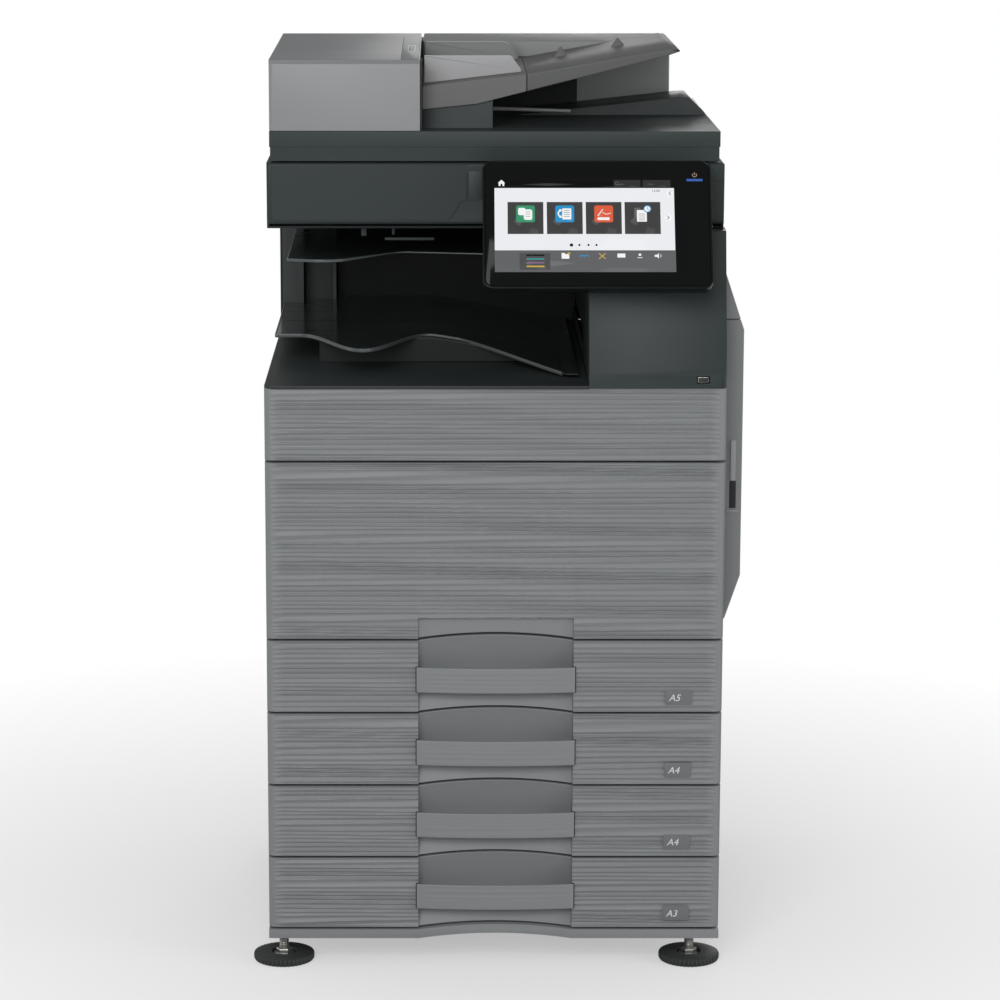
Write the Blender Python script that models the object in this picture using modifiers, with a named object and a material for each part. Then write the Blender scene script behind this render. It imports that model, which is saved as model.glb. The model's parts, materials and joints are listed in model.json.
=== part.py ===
"""A floor-standing A3 colour photocopier on a stand with paper drawers, as separate solids.

Metres, +Z up, with the origin on the floor at the middle of the machine's footprint.
Places are written as x from the middle of the body, d behind the plane of the drawer
fronts, and z above the floor.
"""

import math

import bmesh
import bpy
from mathutils import Matrix, Vector

# ---- Driving dimensions ----
BODY_W = 0.590            # width of the fronts and covers
BODY_D = 0.600            # from the drawer fronts to the rear cover
PANEL_REACH = 0.060       # how far the control panel stands out in front
SIDE_BULGE = 0.0272       # how far the right side unit stands out
BASE_Z = 0.036            # underside of the stand
FIRST_DRAWER_Z = 0.0495   # lower shut line of the lowest drawer
DRAWER_PITCH = 0.0973
STAND_DRAWERS = 3         # in the stand; one more is in the engine
DOOR_H = 0.2342
UPPER_COVER_H = 0.0951
DECK_T = 0.003
BAY_H = 0.193             # clear height of the output bay
SCAN_H = 0.0847
LID_GAP = 0.0023
LID_H = 0.038
FEEDER_H = 0.089

FIT = 0.0003              # what two touching faces keep between them
SEAM = 0.003              # shut line between two fronts
SKIN = 0.003              # moulded wall
SINK = 0.001              # how far joined solids run into each other
PAST = 0.010              # how far a cutter runs past the face it opens
FRONT_T = 0.030           # thickness of a drawer front
DOOR_T = 0.026
COVER_T = 0.0182          # thickness of a side cover
SHEET_T = 0.004           # frame side plate
REAR_T = 0.0155           # rear cover

# ---- Main places, worked out from the driving dimensions ----
HALF = BODY_W / 2
DRAWERS = STAND_DRAWERS + 1
ENGINE_Z = FIRST_DRAWER_Z + STAND_DRAWERS * DRAWER_PITCH
DOOR_Z = ENGINE_Z + DRAWER_PITCH
UPPER_Z = DOOR_Z + DOOR_H
DECK_Z = UPPER_Z + UPPER_COVER_H
DECK_TOP = DECK_Z + DECK_T
SCAN_Z = DECK_TOP + BAY_H
SCAN_TOP = SCAN_Z + SCAN_H
LID_Z = SCAN_TOP + LID_GAP
LID_TOP = LID_Z + LID_H
FRAME_HALF = HALF - COVER_T - FIT
BAY_HALF = FRAME_HALF - SHEET_T
FRAME_BACK = BODY_D - REAR_T - FIT
BACK_INNER = FRAME_BACK - SHEET_T
CARCASS_D = FRONT_T + FIT

# ---- Drawers ----
TRAY_HALF = BAY_HALF - 0.0105
TRAY_FLOOR = 0.0195       # tray floor above the drawer's shut line
TRAY_H = 0.0720
TRAY_D = BACK_INNER - CARCASS_D - 0.0199
RUNNER_Z = 0.050          # runner above the drawer's shut line
RUNNER_H = 0.006
RUNNER_CLEAR = 0.001
LEDGE_W = 0.009
LEDGE_H = 0.008
LEDGE_IN = 0.020          # where the ledges start behind the carcass's front
RUNNER_IN = 0.010
SHELF_HALF = 0.003        # half of a shelf between two drawers
SCOOP_X = (-0.0985, 0.1015)
SCOOP_RISE = 0.0075       # how far the shut lines arch over the scoop
SCOOP_DEPTH = 0.020
SCOOP_EDGE = 0.0025       # flat strip left above and below the scoop
HANDLE_REACH = 0.0025     # how far the handle laps the scoop at each end
HANDLE_Z = 0.0284         # handle above the drawer's shut line
HANDLE_H = 0.0332
HANDLE_BOW = 0.0105
HANDLE_END = 0.004
HANDLE_T = 0.0045

# ---- Stand ----
BEAM_D = 0.060
BOTTOM_Z = BASE_Z + 0.026  # underside of the stand's floor, above the casters
FLOOR_T = 0.004
CASTER_X = HALF - 0.070
CASTER_D = (0.150, BODY_D - 0.090)
WHEEL_R = 0.022
WHEEL_W = 0.016
CASTER_TRAIL = 0.014
FORK_R = 0.018
FORK_T = 0.010
CHEEK_T = 0.004
CHEEK_HALF = 0.006        # half of a cheek's width at the axle
FOOT_X = (-HALF + 0.0185, HALF - 0.0370)
FOOT_D = 0.025
FOOT_R = 0.040
FOOT_H = 0.012
NUT_R = 0.011
NUT_H = 0.008
STEM_R = 0.006
FOOT_TRAVEL = 0.010       # how far a foot screws up
STEM_TOP = FIRST_DRAWER_Z + SEAM / 2 - FOOT_TRAVEL - FIT

# ---- Engine ----
PATH_D = (0.110, BODY_D - 0.090)
PATH_MARGIN = 0.020
DRUM_R = 0.015
DRUM_Z = DOOR_Z + 0.1363
DRUM_PITCH = 0.080
DRUM_X = [-HALF + 0.095 + DRUM_PITCH * number for number in range(4)]
DRUM_D = (0.070, BODY_D - 0.100)
SHAFT_R = 0.004
SHAFT_OUT = 0.020         # how far a shaft stands out at its free end
BELT_H = 0.040
TONER_Z = DRUM_Z + 0.0843
TONER_H = 0.075
TONER_W = 0.062
TONER_D = (0.060, BODY_D - 0.060)
TONER_CORNER = 0.020
FUSER_Z = DECK_Z - 0.033
FUSER_R = 0.0175
FUSER_X = HALF - 0.100
FUSER_D = (0.120, BODY_D - 0.100)
FUSER_SHAFT_R = 0.006
EXIT_X = (HALF - 0.140, HALF - 0.033)
EXIT_D = (0.100, BODY_D - 0.080)
LASER_X = (-HALF + 0.050, HALF - 0.175)
LASER_D = (0.060, BODY_D - 0.040)
LASER_H = 0.058
INLET_X = (-HALF + 0.055, -HALF + 0.090)
INLET_Z = (ENGINE_Z + 0.0436, ENGINE_Z + 0.0716)
DOOR_AXIS = (0.0013, 0.003)  # the door's hinge axis behind its face and above its lower edge
STOP_HALF = 0.006         # half of the width of the door's two stops

# ---- Right side unit ----
SIDE_D = (0.080, BODY_D - 0.060)
SIDE_Z = (DOOR_Z + 0.0073, DOOR_Z + 0.0183, DOOR_Z + 0.0683, DECK_Z + 0.063, DECK_Z + 0.141)
BYPASS_D = (0.150, BODY_D - 0.120)
BYPASS_Z = (SIDE_Z[2] + 0.003, UPPER_Z + 0.0271)
BYPASS_T = 0.0120

# ---- Output bay ----
BAY_X = HALF - 0.176      # right end of the bay
COLUMN_D = 0.0625         # depth of the front column
COLUMN_LEAN = 0.045
COLUMN_FOOT = 0.019
PORT_X = (HALF - 0.0387, HALF - 0.0225)
PORT_Z = (DECK_Z + 0.0063, DECK_Z + 0.0153)
PORT_DEPTH = 0.014
REAR_WALL = 0.038
PILLAR_X = -HALF + 0.033  # right side of the rear left pillar
PILLAR_D = BODY_D - 0.110
STEP_X = -HALF + 0.078    # right side of the step beside the pillar
STEP_D = BODY_D - 0.070
PLINTH_X = -HALF + 0.065
PLINTH_D = 0.187
PLINTH_H = 0.0352
SLOPE_END = BAY_X - 0.027
SLOPE_START = SLOPE_END - 0.172
SLOPE_FOOT = 0.004        # the output tray's height over the deck at its right end
SHEET_LEFT = -HALF + 0.0055
SHEET_THICK = 0.0025
SCALLOP_X = (SHEET_LEFT + 0.0345, SLOPE_START - 0.007)
SCALLOP_REACH = 0.125
UPPER_SHEET_Z = SCAN_Z - 0.046
UPPER_SHEET_X = -HALF + 0.012
EXIT_SLOT_D = (0.200, BODY_D - 0.050)

# ---- Scanner, lid and feeder ----
SCAN_HALF = HALF - 0.003
SCAN_D = 0.062
SCAN_BEVEL = 0.009
GLASS_HALF = 0.225
GLASS_D = (0.090, 0.420)
GLASS_T = 0.004
LEDGE = 0.010
RAIL_TOP = SCAN_Z + 0.040
CARRIAGE_X = (-GLASS_HALF + 0.013, -GLASS_HALF + 0.065)
CARRIAGE_H = 0.028
LID_X = (-HALF + 0.007, HALF - 0.009)
LID_D = (0.060, BODY_D - 0.040)
LID_BAND = 0.018          # height of the lid's lower band
BAND_INSET = 0.001
HINGE_D = BODY_D - 0.024
HINGE_Z = LID_Z + 0.016
HINGE_X = HALF - 0.095
KNUCKLE_R = 0.009
KNUCKLE_W = 0.020
EAR_W = 0.010
COVER_X = (LID_X[0], LID_X[0] + 0.192)
COVER_D = (0.060, BODY_D - 0.110)
COVER_RISE = 0.0068
SHELL = 0.0025
CORE_H = 0.061
ROLLER_X = COVER_X[1] - 0.024
ROLLER_D = (0.200, 0.290)
ROLLER_R = 0.011
REAR_HOUSING_D = (BODY_D - 0.200, BODY_D - 0.080)
REAR_HOUSING_X = (COVER_X[1] + 0.003, HALF - 0.053)
REAR_HOUSING_H = 0.094
DOC_LEFT = REAR_HOUSING_X[0]
DOC_BEND = DOC_LEFT + 0.135
DOC_RIGHT = HALF - 0.056
TRAY_TOP = ((DOC_LEFT, LID_TOP + 0.054), (DOC_BEND, LID_TOP + 0.0695),
            (DOC_RIGHT, LID_TOP + 0.102))
TRAY_UNDER = ((DOC_RIGHT - 0.020, LID_TOP + 0.0845), (DOC_BEND, LID_TOP + 0.0425),
              (DOC_LEFT, LID_TOP + 0.031))
DOC_TRAY_D = (0.100, REAR_HOUSING_D[0] - 0.002)
THROAT_X = DOC_LEFT + 0.090  # right side of the wall that the document tray rests on
RIDGE_X = LID_X[1] - 0.024   # crest of the ridge that stops ejected originals
RIDGE_H = 0.024
GUIDE_D = (DOC_TRAY_D[0] + 0.040, DOC_TRAY_D[1] - 0.038)
GUIDE_T = 0.003
GUIDE_H = 0.036
DOC_AXIS = (DOC_LEFT - 0.0015, TRAY_TOP[0][1] + GUIDE_H)  # above all that swings with it

# ---- Control panel, measured from its tilt axis ----
PANEL_W = 0.288
PANEL_H = 0.174
PANEL_T = 0.018
PANEL_LEFT = HALF - 0.024 - PANEL_W
PANEL_TILT = math.radians(30)
PANEL_BACK = 0.0078       # from the tilt axis to the panel's back
PANEL_BELOW = 0.1073
PANEL_CORNER = 0.012
PANEL_RIM = 0.0035        # rim of the housing round the glass
PANEL_GLASS_T = 0.0025
PIVOT_D = PANEL_BELOW / 2 + (PANEL_BACK + PANEL_T) * math.cos(PANEL_TILT) - PANEL_REACH
PIVOT_Z = SCAN_Z + 0.021
PIVOT_R = 0.007
ARM_X = (PANEL_LEFT + 0.087, PANEL_LEFT + 0.207)
ARM_HALF = 0.010          # half of the arm's height
LUG_W = 0.020

# ---- Where the body stands in the footprint ----
FOOT_OUT = -HALF - (FOOT_X[0] - FOOT_R)
BODY_X = (FOOT_OUT - SIDE_BULGE) / 2
FRONT_Y = (PANEL_REACH - BODY_D) / 2


def wipe():
    """Empty the file that the script runs in."""
    for obj in list(bpy.data.objects):
        bpy.data.objects.remove(obj, do_unlink=True)


wipe()
PARTS = bpy.data.collections.new("photocopier")
CUTTERS = bpy.data.collections.new("cutters")
bpy.context.scene.collection.children.link(PARTS)
bpy.context.scene.collection.children.link(CUTTERS)


def at(x, d, z):
    """World place of a point given from the body's middle, front plane and floor."""
    return Vector((BODY_X + x, FRONT_Y + d, z))


def finish_material(name, colour, roughness, metallic=0.0):
    """One plain Principled finish."""
    made = bpy.data.materials.new(name)
    made.use_nodes = True
    shader = made.node_tree.nodes["Principled BSDF"]
    shader.inputs["Base Color"].default_value = (*colour, 1.0)
    shader.inputs["Roughness"].default_value = roughness
    shader.inputs["Metallic"].default_value = metallic
    return made


GREY = finish_material("mid_grey_plastic", (0.20, 0.21, 0.215), 0.55)
LIGHT = finish_material("light_grey_plastic", (0.29, 0.30, 0.31), 0.5)
DARK = finish_material("slate_plastic", (0.045, 0.055, 0.055), 0.5)
SMOKE = finish_material("smoked_sheet", (0.03, 0.04, 0.04), 0.2)
BLACK = finish_material("gloss_black", (0.01, 0.01, 0.012), 0.15)
STEEL = finish_material("plated_steel", (0.55, 0.55, 0.53), 0.35, 1.0)
RUBBER = finish_material("black_rubber", (0.02, 0.02, 0.02), 0.8)
GLASS = finish_material("clear_glass", (0.6, 0.65, 0.65), 0.05)
DRUM = finish_material("drum_coat", (0.02, 0.12, 0.10), 0.15)
NYLON = finish_material("natural_nylon", (0.65, 0.64, 0.58), 0.6)
TONERS = {
    "black": finish_material("toner_black", (0.02, 0.02, 0.02), 0.5),
    "cyan": finish_material("toner_cyan", (0.02, 0.30, 0.50), 0.5),
    "magenta": finish_material("toner_magenta", (0.50, 0.03, 0.20), 0.5),
    "yellow": finish_material("toner_yellow", (0.65, 0.50, 0.03), 0.5),
}


def add_object(name, mesh, location, surface):
    """Put a mesh in the parts' collection, or in the cutters' when it has no finish."""
    made = bpy.data.objects.new(name, mesh)
    made.location = location
    if surface is None:
        CUTTERS.objects.link(made)
        made.hide_render = True
        made.display_type = "WIRE"
    else:
        PARTS.objects.link(made)
        mesh.materials.append(surface)
    return made


def block(name, x, d, z, surface=None):
    """A box between two x, two d and two z."""
    size = Vector((x[1] - x[0], d[1] - d[0], z[1] - z[0]))
    shape = bmesh.new()
    bmesh.ops.create_cube(shape, size=1.0)
    bmesh.ops.scale(shape, vec=size, verts=shape.verts)
    mesh = bpy.data.meshes.new(name)
    shape.to_mesh(mesh)
    shape.free()
    centre = at((x[0] + x[1]) / 2, (d[0] + d[1]) / 2, (z[0] + z[1]) / 2)
    return add_object(name, mesh, centre, surface)


AXIS_TURN = {
    "x": Matrix.Rotation(math.pi / 2, 4, "Y"),
    "y": Matrix.Rotation(math.pi / 2, 4, "X"),
    "z": Matrix.Identity(4),
}


def rod(name, centre, radius, length, axis, surface=None, sides=32):
    """A cylinder of a length along one axis, about its centre (x, d, z)."""
    shape = bmesh.new()
    bmesh.ops.create_cone(shape, cap_ends=True, segments=sides, radius1=radius,
                          radius2=radius, depth=length, matrix=AXIS_TURN[axis])
    mesh = bpy.data.meshes.new(name)
    shape.to_mesh(mesh)
    shape.free()
    made = add_object(name, mesh, at(*centre), surface)
    mesh.shade_smooth()
    mesh.set_sharp_from_angle(angle=math.radians(35))
    return made


# How a flat outline's (u, v, thickness) lie in the world, by the axis it is extruded along
OUTLINE_FRAME = {
    "x": Matrix(((0, 0, 1), (1, 0, 0), (0, 1, 0))).to_4x4(),
    "y": Matrix(((1, 0, 0), (0, 0, -1), (0, 1, 0))).to_4x4(),
    "z": Matrix.Identity(4),
}


def plate(name, outline, axis, span, surface=None, local=False):
    """A flat outline extruded along one axis between two places.

    The outline holds (d, z) pairs for x, (x, z) pairs for y and (x, d) pairs for z.
    A local plate is written from its parent's origin and not from the body's.
    """
    curve = bpy.data.curves.new(name, "CURVE")
    curve.dimensions = "2D"
    curve.fill_mode = "BOTH"
    curve.extrude = (span[1] - span[0]) / 2
    curve.render_resolution_u = 0
    spline = curve.splines.new("POLY")
    spline.points.add(len(outline) - 1)
    for point, (u, v) in zip(spline.points, outline):
        point.co = (u, v, 0.0, 1.0)
    spline.use_cyclic_u = True
    drawn = bpy.data.objects.new(name + "_outline", curve)
    PARTS.objects.link(drawn)
    graph = bpy.context.evaluated_depsgraph_get()
    mesh = bpy.data.meshes.new_from_object(drawn.evaluated_get(graph))
    bpy.data.objects.remove(drawn, do_unlink=True)
    shape = bmesh.new()
    shape.from_mesh(mesh)
    bmesh.ops.remove_doubles(shape, verts=shape.verts, dist=1e-6)
    bmesh.ops.transform(shape, matrix=OUTLINE_FRAME[axis], verts=shape.verts)
    bmesh.ops.recalc_face_normals(shape, faces=shape.faces)
    shape.to_mesh(mesh)
    shape.free()
    mesh.name = name
    middle = (span[0] + span[1]) / 2
    shift = {"x": (middle, 0, 0), "y": (0, middle, 0), "z": (0, 0, middle)}[axis]
    return add_object(name, mesh, Vector(shift) if local else at(*shift), surface)


def boolean(target, operation, tools):
    """Cut or join solids into a target; the tools move to the cutters."""
    for number, tool in enumerate(tools):
        step = target.modifiers.new(f"{operation.lower()}_{number}", "BOOLEAN")
        step.operation = operation
        step.object = tool
        step.solver = "EXACT"
    return target


def cut(target, *tools):
    return boolean(target, "DIFFERENCE", tools)


def join(target, *tools):
    return boolean(target, "UNION", tools)


def pivot(name, x, d, z, turn=0.0):
    """An empty on a joint's axis, turned about X where the piece leans."""
    made = bpy.data.objects.new(name, None)
    made.location = at(x, d, z)
    made.rotation_euler = (turn, 0.0, 0.0)
    made.empty_display_size = 0.02
    PARTS.objects.link(made)
    return made


def hang(parent, *children):
    """Parent pieces to a pivot and leave them where they are."""
    place = Matrix.LocRotScale(parent.location, parent.rotation_euler, None)
    for child in children:
        child.parent = parent
        child.matrix_parent_inverse = place.inverted()


def carry(parent, *children):
    """Parent pieces that are written from the pivot's own origin."""
    for child in children:
        child.parent = parent


def arch(x, z, rise, steps=12):
    """Points of a shallow round arch between two x at one z, left to right."""
    half = (x[1] - x[0]) / 2
    radius = (half * half + rise * rise) / (2 * rise)
    middle = (x[0] + x[1]) / 2
    points = []
    for step in range(steps + 1):
        u = x[0] + (x[1] - x[0]) * step / steps
        drop = radius - math.sqrt(radius * radius - (u - middle) ** 2)
        points.append((u, z + rise - drop))
    return points


def rounded(x, z, radius, steps=5):
    """A rectangle's outline with round corners."""
    points = []
    corners = ((x[1], z[0], -90), (x[1], z[1], 0), (x[0], z[1], 90), (x[0], z[0], 180))
    for cx, cz, first in corners:
        mx = cx - math.copysign(radius, cx - (x[0] + x[1]) / 2)
        mz = cz - math.copysign(radius, cz - (z[0] + z[1]) / 2)
        for step in range(steps + 1):
            angle = math.radians(first + 90 * step / steps)
            points.append((mx + radius * math.cos(angle), mz + radius * math.sin(angle)))
    return points


# ---- The stand ----
def drawer_z(number):
    """Lower shut line of a drawer, counted from the floor."""
    return FIRST_DRAWER_Z + number * DRAWER_PITCH


def runner_ledges(name, number):
    """The two ledges that one tray's runners slide on."""
    top = drawer_z(number) + RUNNER_Z - FIT
    z = (top - LEDGE_H, top)
    d = (CARCASS_D + LEDGE_IN, CARCASS_D + TRAY_D)
    left = block(f"{name}_l", (-BAY_HALF - SINK, -BAY_HALF + LEDGE_W), d, z)
    right = block(f"{name}_r", (BAY_HALF - LEDGE_W, BAY_HALF + SINK), d, z)
    return left, right


def build_stand():
    """Carcass of the stand: three bays, a front beam with an arched toe and a floor."""
    carcass = block("stand_cabinet", (-HALF, HALF), (CARCASS_D, BODY_D),
                    (BASE_Z, ENGINE_Z - FIT), GREY)
    low, high = BASE_Z, FIRST_DRAWER_Z - SEAM / 2
    outline = [(-HALF, low), *arch(SCOOP_X, low, SCOOP_RISE), (HALF, low), (HALF, high)]
    outline += [*reversed(arch(SCOOP_X, high, SCOOP_RISE)), (-HALF, high)]
    under = block("cut_under", (-BAY_HALF, BAY_HALF), (BEAM_D, BODY_D - REAR_T),
                  (BASE_Z - PAST, BOTTOM_Z))
    join(carcass, plate("front_beam", outline, "y", (0.0, BEAM_D)))
    bays = []
    for number in range(STAND_DRAWERS):
        low = drawer_z(number) + SHELF_HALF
        if number == 0:
            low = BOTTOM_Z + FLOOR_T
        high = drawer_z(number + 1) - SHELF_HALF
        bays.append(block(f"cut_bay_{number}", (-BAY_HALF, BAY_HALF),
                          (CARCASS_D - PAST, BODY_D - REAR_T), (low, high)))
    cut(carcass, under, *bays)
    for number in range(STAND_DRAWERS):
        join(carcass, *runner_ledges(f"ledge_{number}", number))
    holes = [rod(f"cut_foot_{side}", (x, FOOT_D, BASE_Z), STEM_R + 2 * FIT, 4 * PAST, "z")
             for side, x in zip(("left", "right"), FOOT_X)]
    cut(carcass, *holes)


def build_feet():
    """Two levelling feet that screw into the front beam."""
    for side, x in zip(("left", "right"), FOOT_X):
        disc = rod(f"levelling_foot_{side}", (x, FOOT_D, FOOT_H / 2), FOOT_R, FOOT_H,
                   "z", RUBBER, sides=40)
        nut = rod(f"foot_nut_{side}", (x, FOOT_D, FOOT_H + (NUT_H - SINK) / 2), NUT_R,
                  NUT_H + SINK, "z", sides=6)
        stem = rod(f"foot_stem_{side}", (x, FOOT_D, (FOOT_H - SINK + STEM_TOP) / 2), STEM_R,
                   STEM_TOP - FOOT_H + SINK, "z", sides=20)
        join(disc, nut, stem)


def build_casters():
    """Four swivelling casters under the stand's floor."""
    for row, d in zip(("front", "rear"), CASTER_D):
        for side, x in (("left", -CASTER_X), ("right", CASTER_X)):
            tag = f"{row}_{side}"
            swivel = pivot(f"swivel_{tag}", x, d, BOTTOM_Z)
            fork = rod(f"caster_fork_{tag}", (x, d, BOTTOM_Z - FIT - FORK_T / 2), FORK_R,
                       FORK_T, "z", STEEL, sides=24)
            inner = WHEEL_W / 2 + FIT
            cheeks = [block(f"cheek_{tag}_{sign}",
                            tuple(sorted((x + sign * inner, x + sign * (inner + CHEEK_T)))),
                            (d - CHEEK_HALF, d + CASTER_TRAIL + CHEEK_HALF),
                            (WHEEL_R - CHEEK_HALF, BOTTOM_Z - FORK_T / 2 - SINK))
                      for sign in (-1, 1)]
            join(fork, *cheeks)
            axle = (x, d + CASTER_TRAIL, WHEEL_R)
            wheel = rod(f"caster_wheel_{tag}", axle, WHEEL_R, WHEEL_W, "x", NYLON)
            hub = pivot(f"axle_{tag}", *axle)
            hang(hub, wheel)
            hang(swivel, fork)


# ---- Paper drawers ----
def build_drawer(number):
    """A tray on runners, its scooped front and the bowed bar handle."""
    low = drawer_z(number)
    z0, z1 = low + SEAM / 2, low + DRAWER_PITCH - SEAM / 2
    name = f"drawer_{DRAWERS - number}"
    outline = [(-HALF, z0), *arch(SCOOP_X, z0, SCOOP_RISE), (HALF, z0), (HALF, z1)]
    outline += [*reversed(arch(SCOOP_X, z1, SCOOP_RISE)), (-HALF, z1)]
    front = plate(f"{name}_front", outline, "y", (0.0, FRONT_T), GREY)
    chord = z1 - z0 - 2 * SCOOP_EDGE
    radius = chord * chord / (8 * SCOOP_DEPTH) + SCOOP_DEPTH / 2
    middle = ((SCOOP_X[0] + SCOOP_X[1]) / 2, SCOOP_DEPTH - radius, (z0 + z1 + SCOOP_RISE) / 2)
    scoop = rod(f"cut_scoop_{number}", middle, radius, SCOOP_X[1] - SCOOP_X[0], "x",
                sides=72)
    cut(front, scoop)

    ends = (SCOOP_X[0] - HANDLE_REACH, SCOOP_X[1] + HANDLE_REACH)
    outer = arch(ends, 0.0, HANDLE_BOW - HANDLE_END)
    inner = arch(SCOOP_X, 0.0, HANDLE_BOW - HANDLE_T)
    bar = [(ends[0], -FIT)] + [(x, -HANDLE_END - bow) for x, bow in outer]
    bar += [(ends[1], -FIT)] + [(x, -FIT - bow) for x, bow in reversed(inner)]
    handle_z = (low + HANDLE_Z, low + HANDLE_Z + HANDLE_H)
    handle = plate(f"{name}_handle", bar, "z", handle_z, GREY)

    floor = low + TRAY_FLOOR
    back = CARCASS_D + TRAY_D
    tray = block(f"{name}_tray", (-TRAY_HALF, TRAY_HALF), (CARCASS_D, back),
                 (floor, floor + TRAY_H), NYLON)
    inside = TRAY_HALF - SKIN
    hollow = block(f"cut_tray_{number}", (-inside, inside),
                   (CARCASS_D + SKIN, back - SKIN), (floor + SKIN, floor + TRAY_H + PAST))
    reach = BAY_HALF - RUNNER_CLEAR
    runner_z = (low + RUNNER_Z, low + RUNNER_Z + RUNNER_H)
    runner_d = (CARCASS_D + RUNNER_IN, back - RUNNER_IN)
    left = block(f"runner_l_{number}", (-reach, -TRAY_HALF + SINK), runner_d, runner_z)
    right = block(f"runner_r_{number}", (TRAY_HALF - SINK, reach), runner_d, runner_z)
    join(tray, left, right)
    cut(tray, hollow)
    hang(pivot(f"slide_drawer_{DRAWERS - number}", 0.0, 0.0, low), tray, front, handle)


# ---- Engine ----
def build_engine():
    """Frame of the engine with the top drawer's bay, and the covers round it."""
    frame = block("engine_frame", (-FRAME_HALF, FRAME_HALF), (CARCASS_D, FRAME_BACK),
                  (ENGINE_Z, DECK_Z - FIT), STEEL)
    open_d = (CARCASS_D - PAST, BACK_INNER)
    drawer_bay = block("cut_top_bay", (-BAY_HALF, BAY_HALF), open_d,
                       (ENGINE_Z + SHEET_T, DOOR_Z - SHELF_HALF))
    engine_bay = block("cut_engine_bay", (-BAY_HALF, BAY_HALF), open_d,
                       (DOOR_Z + SHELF_HALF, DECK_Z - SHEET_T))
    path_z = (SIDE_Z[1] + PATH_MARGIN, DECK_Z - PATH_MARGIN)
    paper_path = block("cut_paper_path", (BAY_HALF - PAST, HALF + PAST), PATH_D, path_z)
    exit_slot = block("cut_exit", EXIT_X, EXIT_D, (DECK_Z - PAST, DECK_Z + PAST))
    cut(frame, drawer_bay, engine_bay, paper_path, exit_slot)
    join(frame, *runner_ledges("ledge_top", STAND_DRAWERS))
    shelf = block("toner_shelf", (-BAY_HALF - SINK, DRUM_X[-1] + TONER_W),
                  (TONER_D[0] - 0.005, BACK_INNER + SINK), (TONER_Z - FIT - SHEET_T, TONER_Z - FIT))
    join(frame, shelf)

    side_d = (CARCASS_D, FRAME_BACK)
    side_z = (ENGINE_Z, DECK_Z - FIT)
    block("left_cover", (-HALF, -HALF + COVER_T), side_d, side_z, GREY)
    right = block("right_cover", (HALF - COVER_T, HALF), side_d, side_z, GREY)
    cut(right, block("cut_right_cover", (FRAME_HALF - PAST, HALF + PAST), PATH_D, path_z))
    rear = block("rear_cover", (-HALF, HALF), (FRAME_BACK + FIT, BODY_D), side_z, GREY)
    cut(rear, block("cut_inlet", INLET_X, (BODY_D - PAST, BODY_D + PAST), INLET_Z))
    block("upper_front_cover", (-HALF, HALF), (0.0, FRONT_T),
          (UPPER_Z + SEAM / 2, DECK_Z - FIT), GREY)


def build_front_door():
    """The door over the toner, hinged along its bottom edge."""
    z0, z1 = DOOR_Z + SEAM / 2, UPPER_Z - SEAM / 2
    outline = [(-HALF, z0), *arch(SCOOP_X, z0, SCOOP_RISE), (HALF, z0), (HALF, z1), (-HALF, z1)]
    door = plate("front_door", outline, "y", (0.0, DOOR_T), GREY)
    stops = []
    for side in (-1, 1):
        x = side * (FRAME_HALF + BAY_HALF) / 2
        stops.append(block(f"door_stop_{side}", (x - STOP_HALF, x + STOP_HALF),
                           (DOOR_T - SINK, CARCASS_D - FIT), (z0 + 0.040, z1 - 0.010)))
    join(door, *stops)
    hang(pivot("door_axis", 0.0, DOOR_AXIS[0], z0 + DOOR_AXIS[1]), door)


def build_image_units():
    """Laser unit, four drums, the transfer belt over them and four toner bottles."""
    base = DOOR_Z + SHELF_HALF + FIT
    block("laser_unit", LASER_X, LASER_D, (base, base + LASER_H), BLACK)
    shaft_end = BACK_INNER - FIT
    for number, x in enumerate(DRUM_X, start=1):
        middle = sum(DRUM_D) / 2
        drum = rod(f"drum_{number}", (x, middle, DRUM_Z), DRUM_R, DRUM_D[1] - DRUM_D[0],
                   "y", DRUM, sides=28)
        start = DRUM_D[0] - SHAFT_OUT
        shaft = rod(f"drum_shaft_{number}", (x, (start + shaft_end) / 2, DRUM_Z), SHAFT_R,
                    shaft_end - start, "y", sides=14)
        join(drum, shaft)
        hang(pivot(f"drum_axis_{number}", x, middle, DRUM_Z), drum)
    z0 = DRUM_Z + DRUM_R + FIT
    radius = BELT_H / 2
    ends = (DRUM_X[0] - radius, DRUM_X[-1] + 1.5 * radius)
    loop = []
    for x, first in ((ends[1], -90), (ends[0], 90)):
        for step in range(13):
            angle = math.radians(first + 15 * step)
            loop.append((x + radius * math.cos(angle), z0 + radius + radius * math.sin(angle)))
    belt = plate("transfer_belt", loop, "y", DRUM_D, RUBBER)
    start = DRUM_D[1] - PAST
    stubs = [rod(f"belt_shaft_{x}", (x, (start + shaft_end) / 2, z0 + radius), SHAFT_R,
                 shaft_end - start, "y", sides=14) for x in ends]
    join(belt, *stubs)
    for (tint, surface), x in zip(TONERS.items(), DRUM_X):
        outline = rounded((x - TONER_W / 2, x + TONER_W / 2), (TONER_Z, TONER_Z + TONER_H),
                          TONER_CORNER, steps=4)
        plate(f"toner_bottle_{tint}", outline, "y", TONER_D, surface)


def build_fuser():
    """The heated roller and the roller that presses on it, at the head of the paper path."""
    middle = sum(FUSER_D) / 2
    start, shaft_end = FUSER_D[0] - SHAFT_OUT, BACK_INNER - FIT
    for name, x, surface in (("fuser_roller", FUSER_X, DRUM),
                             ("pressure_roller", FUSER_X + 2 * FUSER_R + 2 * FIT, RUBBER)):
        roller = rod(name, (x, middle, FUSER_Z), FUSER_R, FUSER_D[1] - FUSER_D[0], "y",
                     surface, sides=28)
        shaft = rod(f"{name}_shaft", (x, (start + shaft_end) / 2, FUSER_Z), FUSER_SHAFT_R,
                    shaft_end - start, "y", sides=14)
        join(roller, shaft)
        hang(pivot(f"{name}_axis", x, middle, FUSER_Z), roller)


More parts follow.
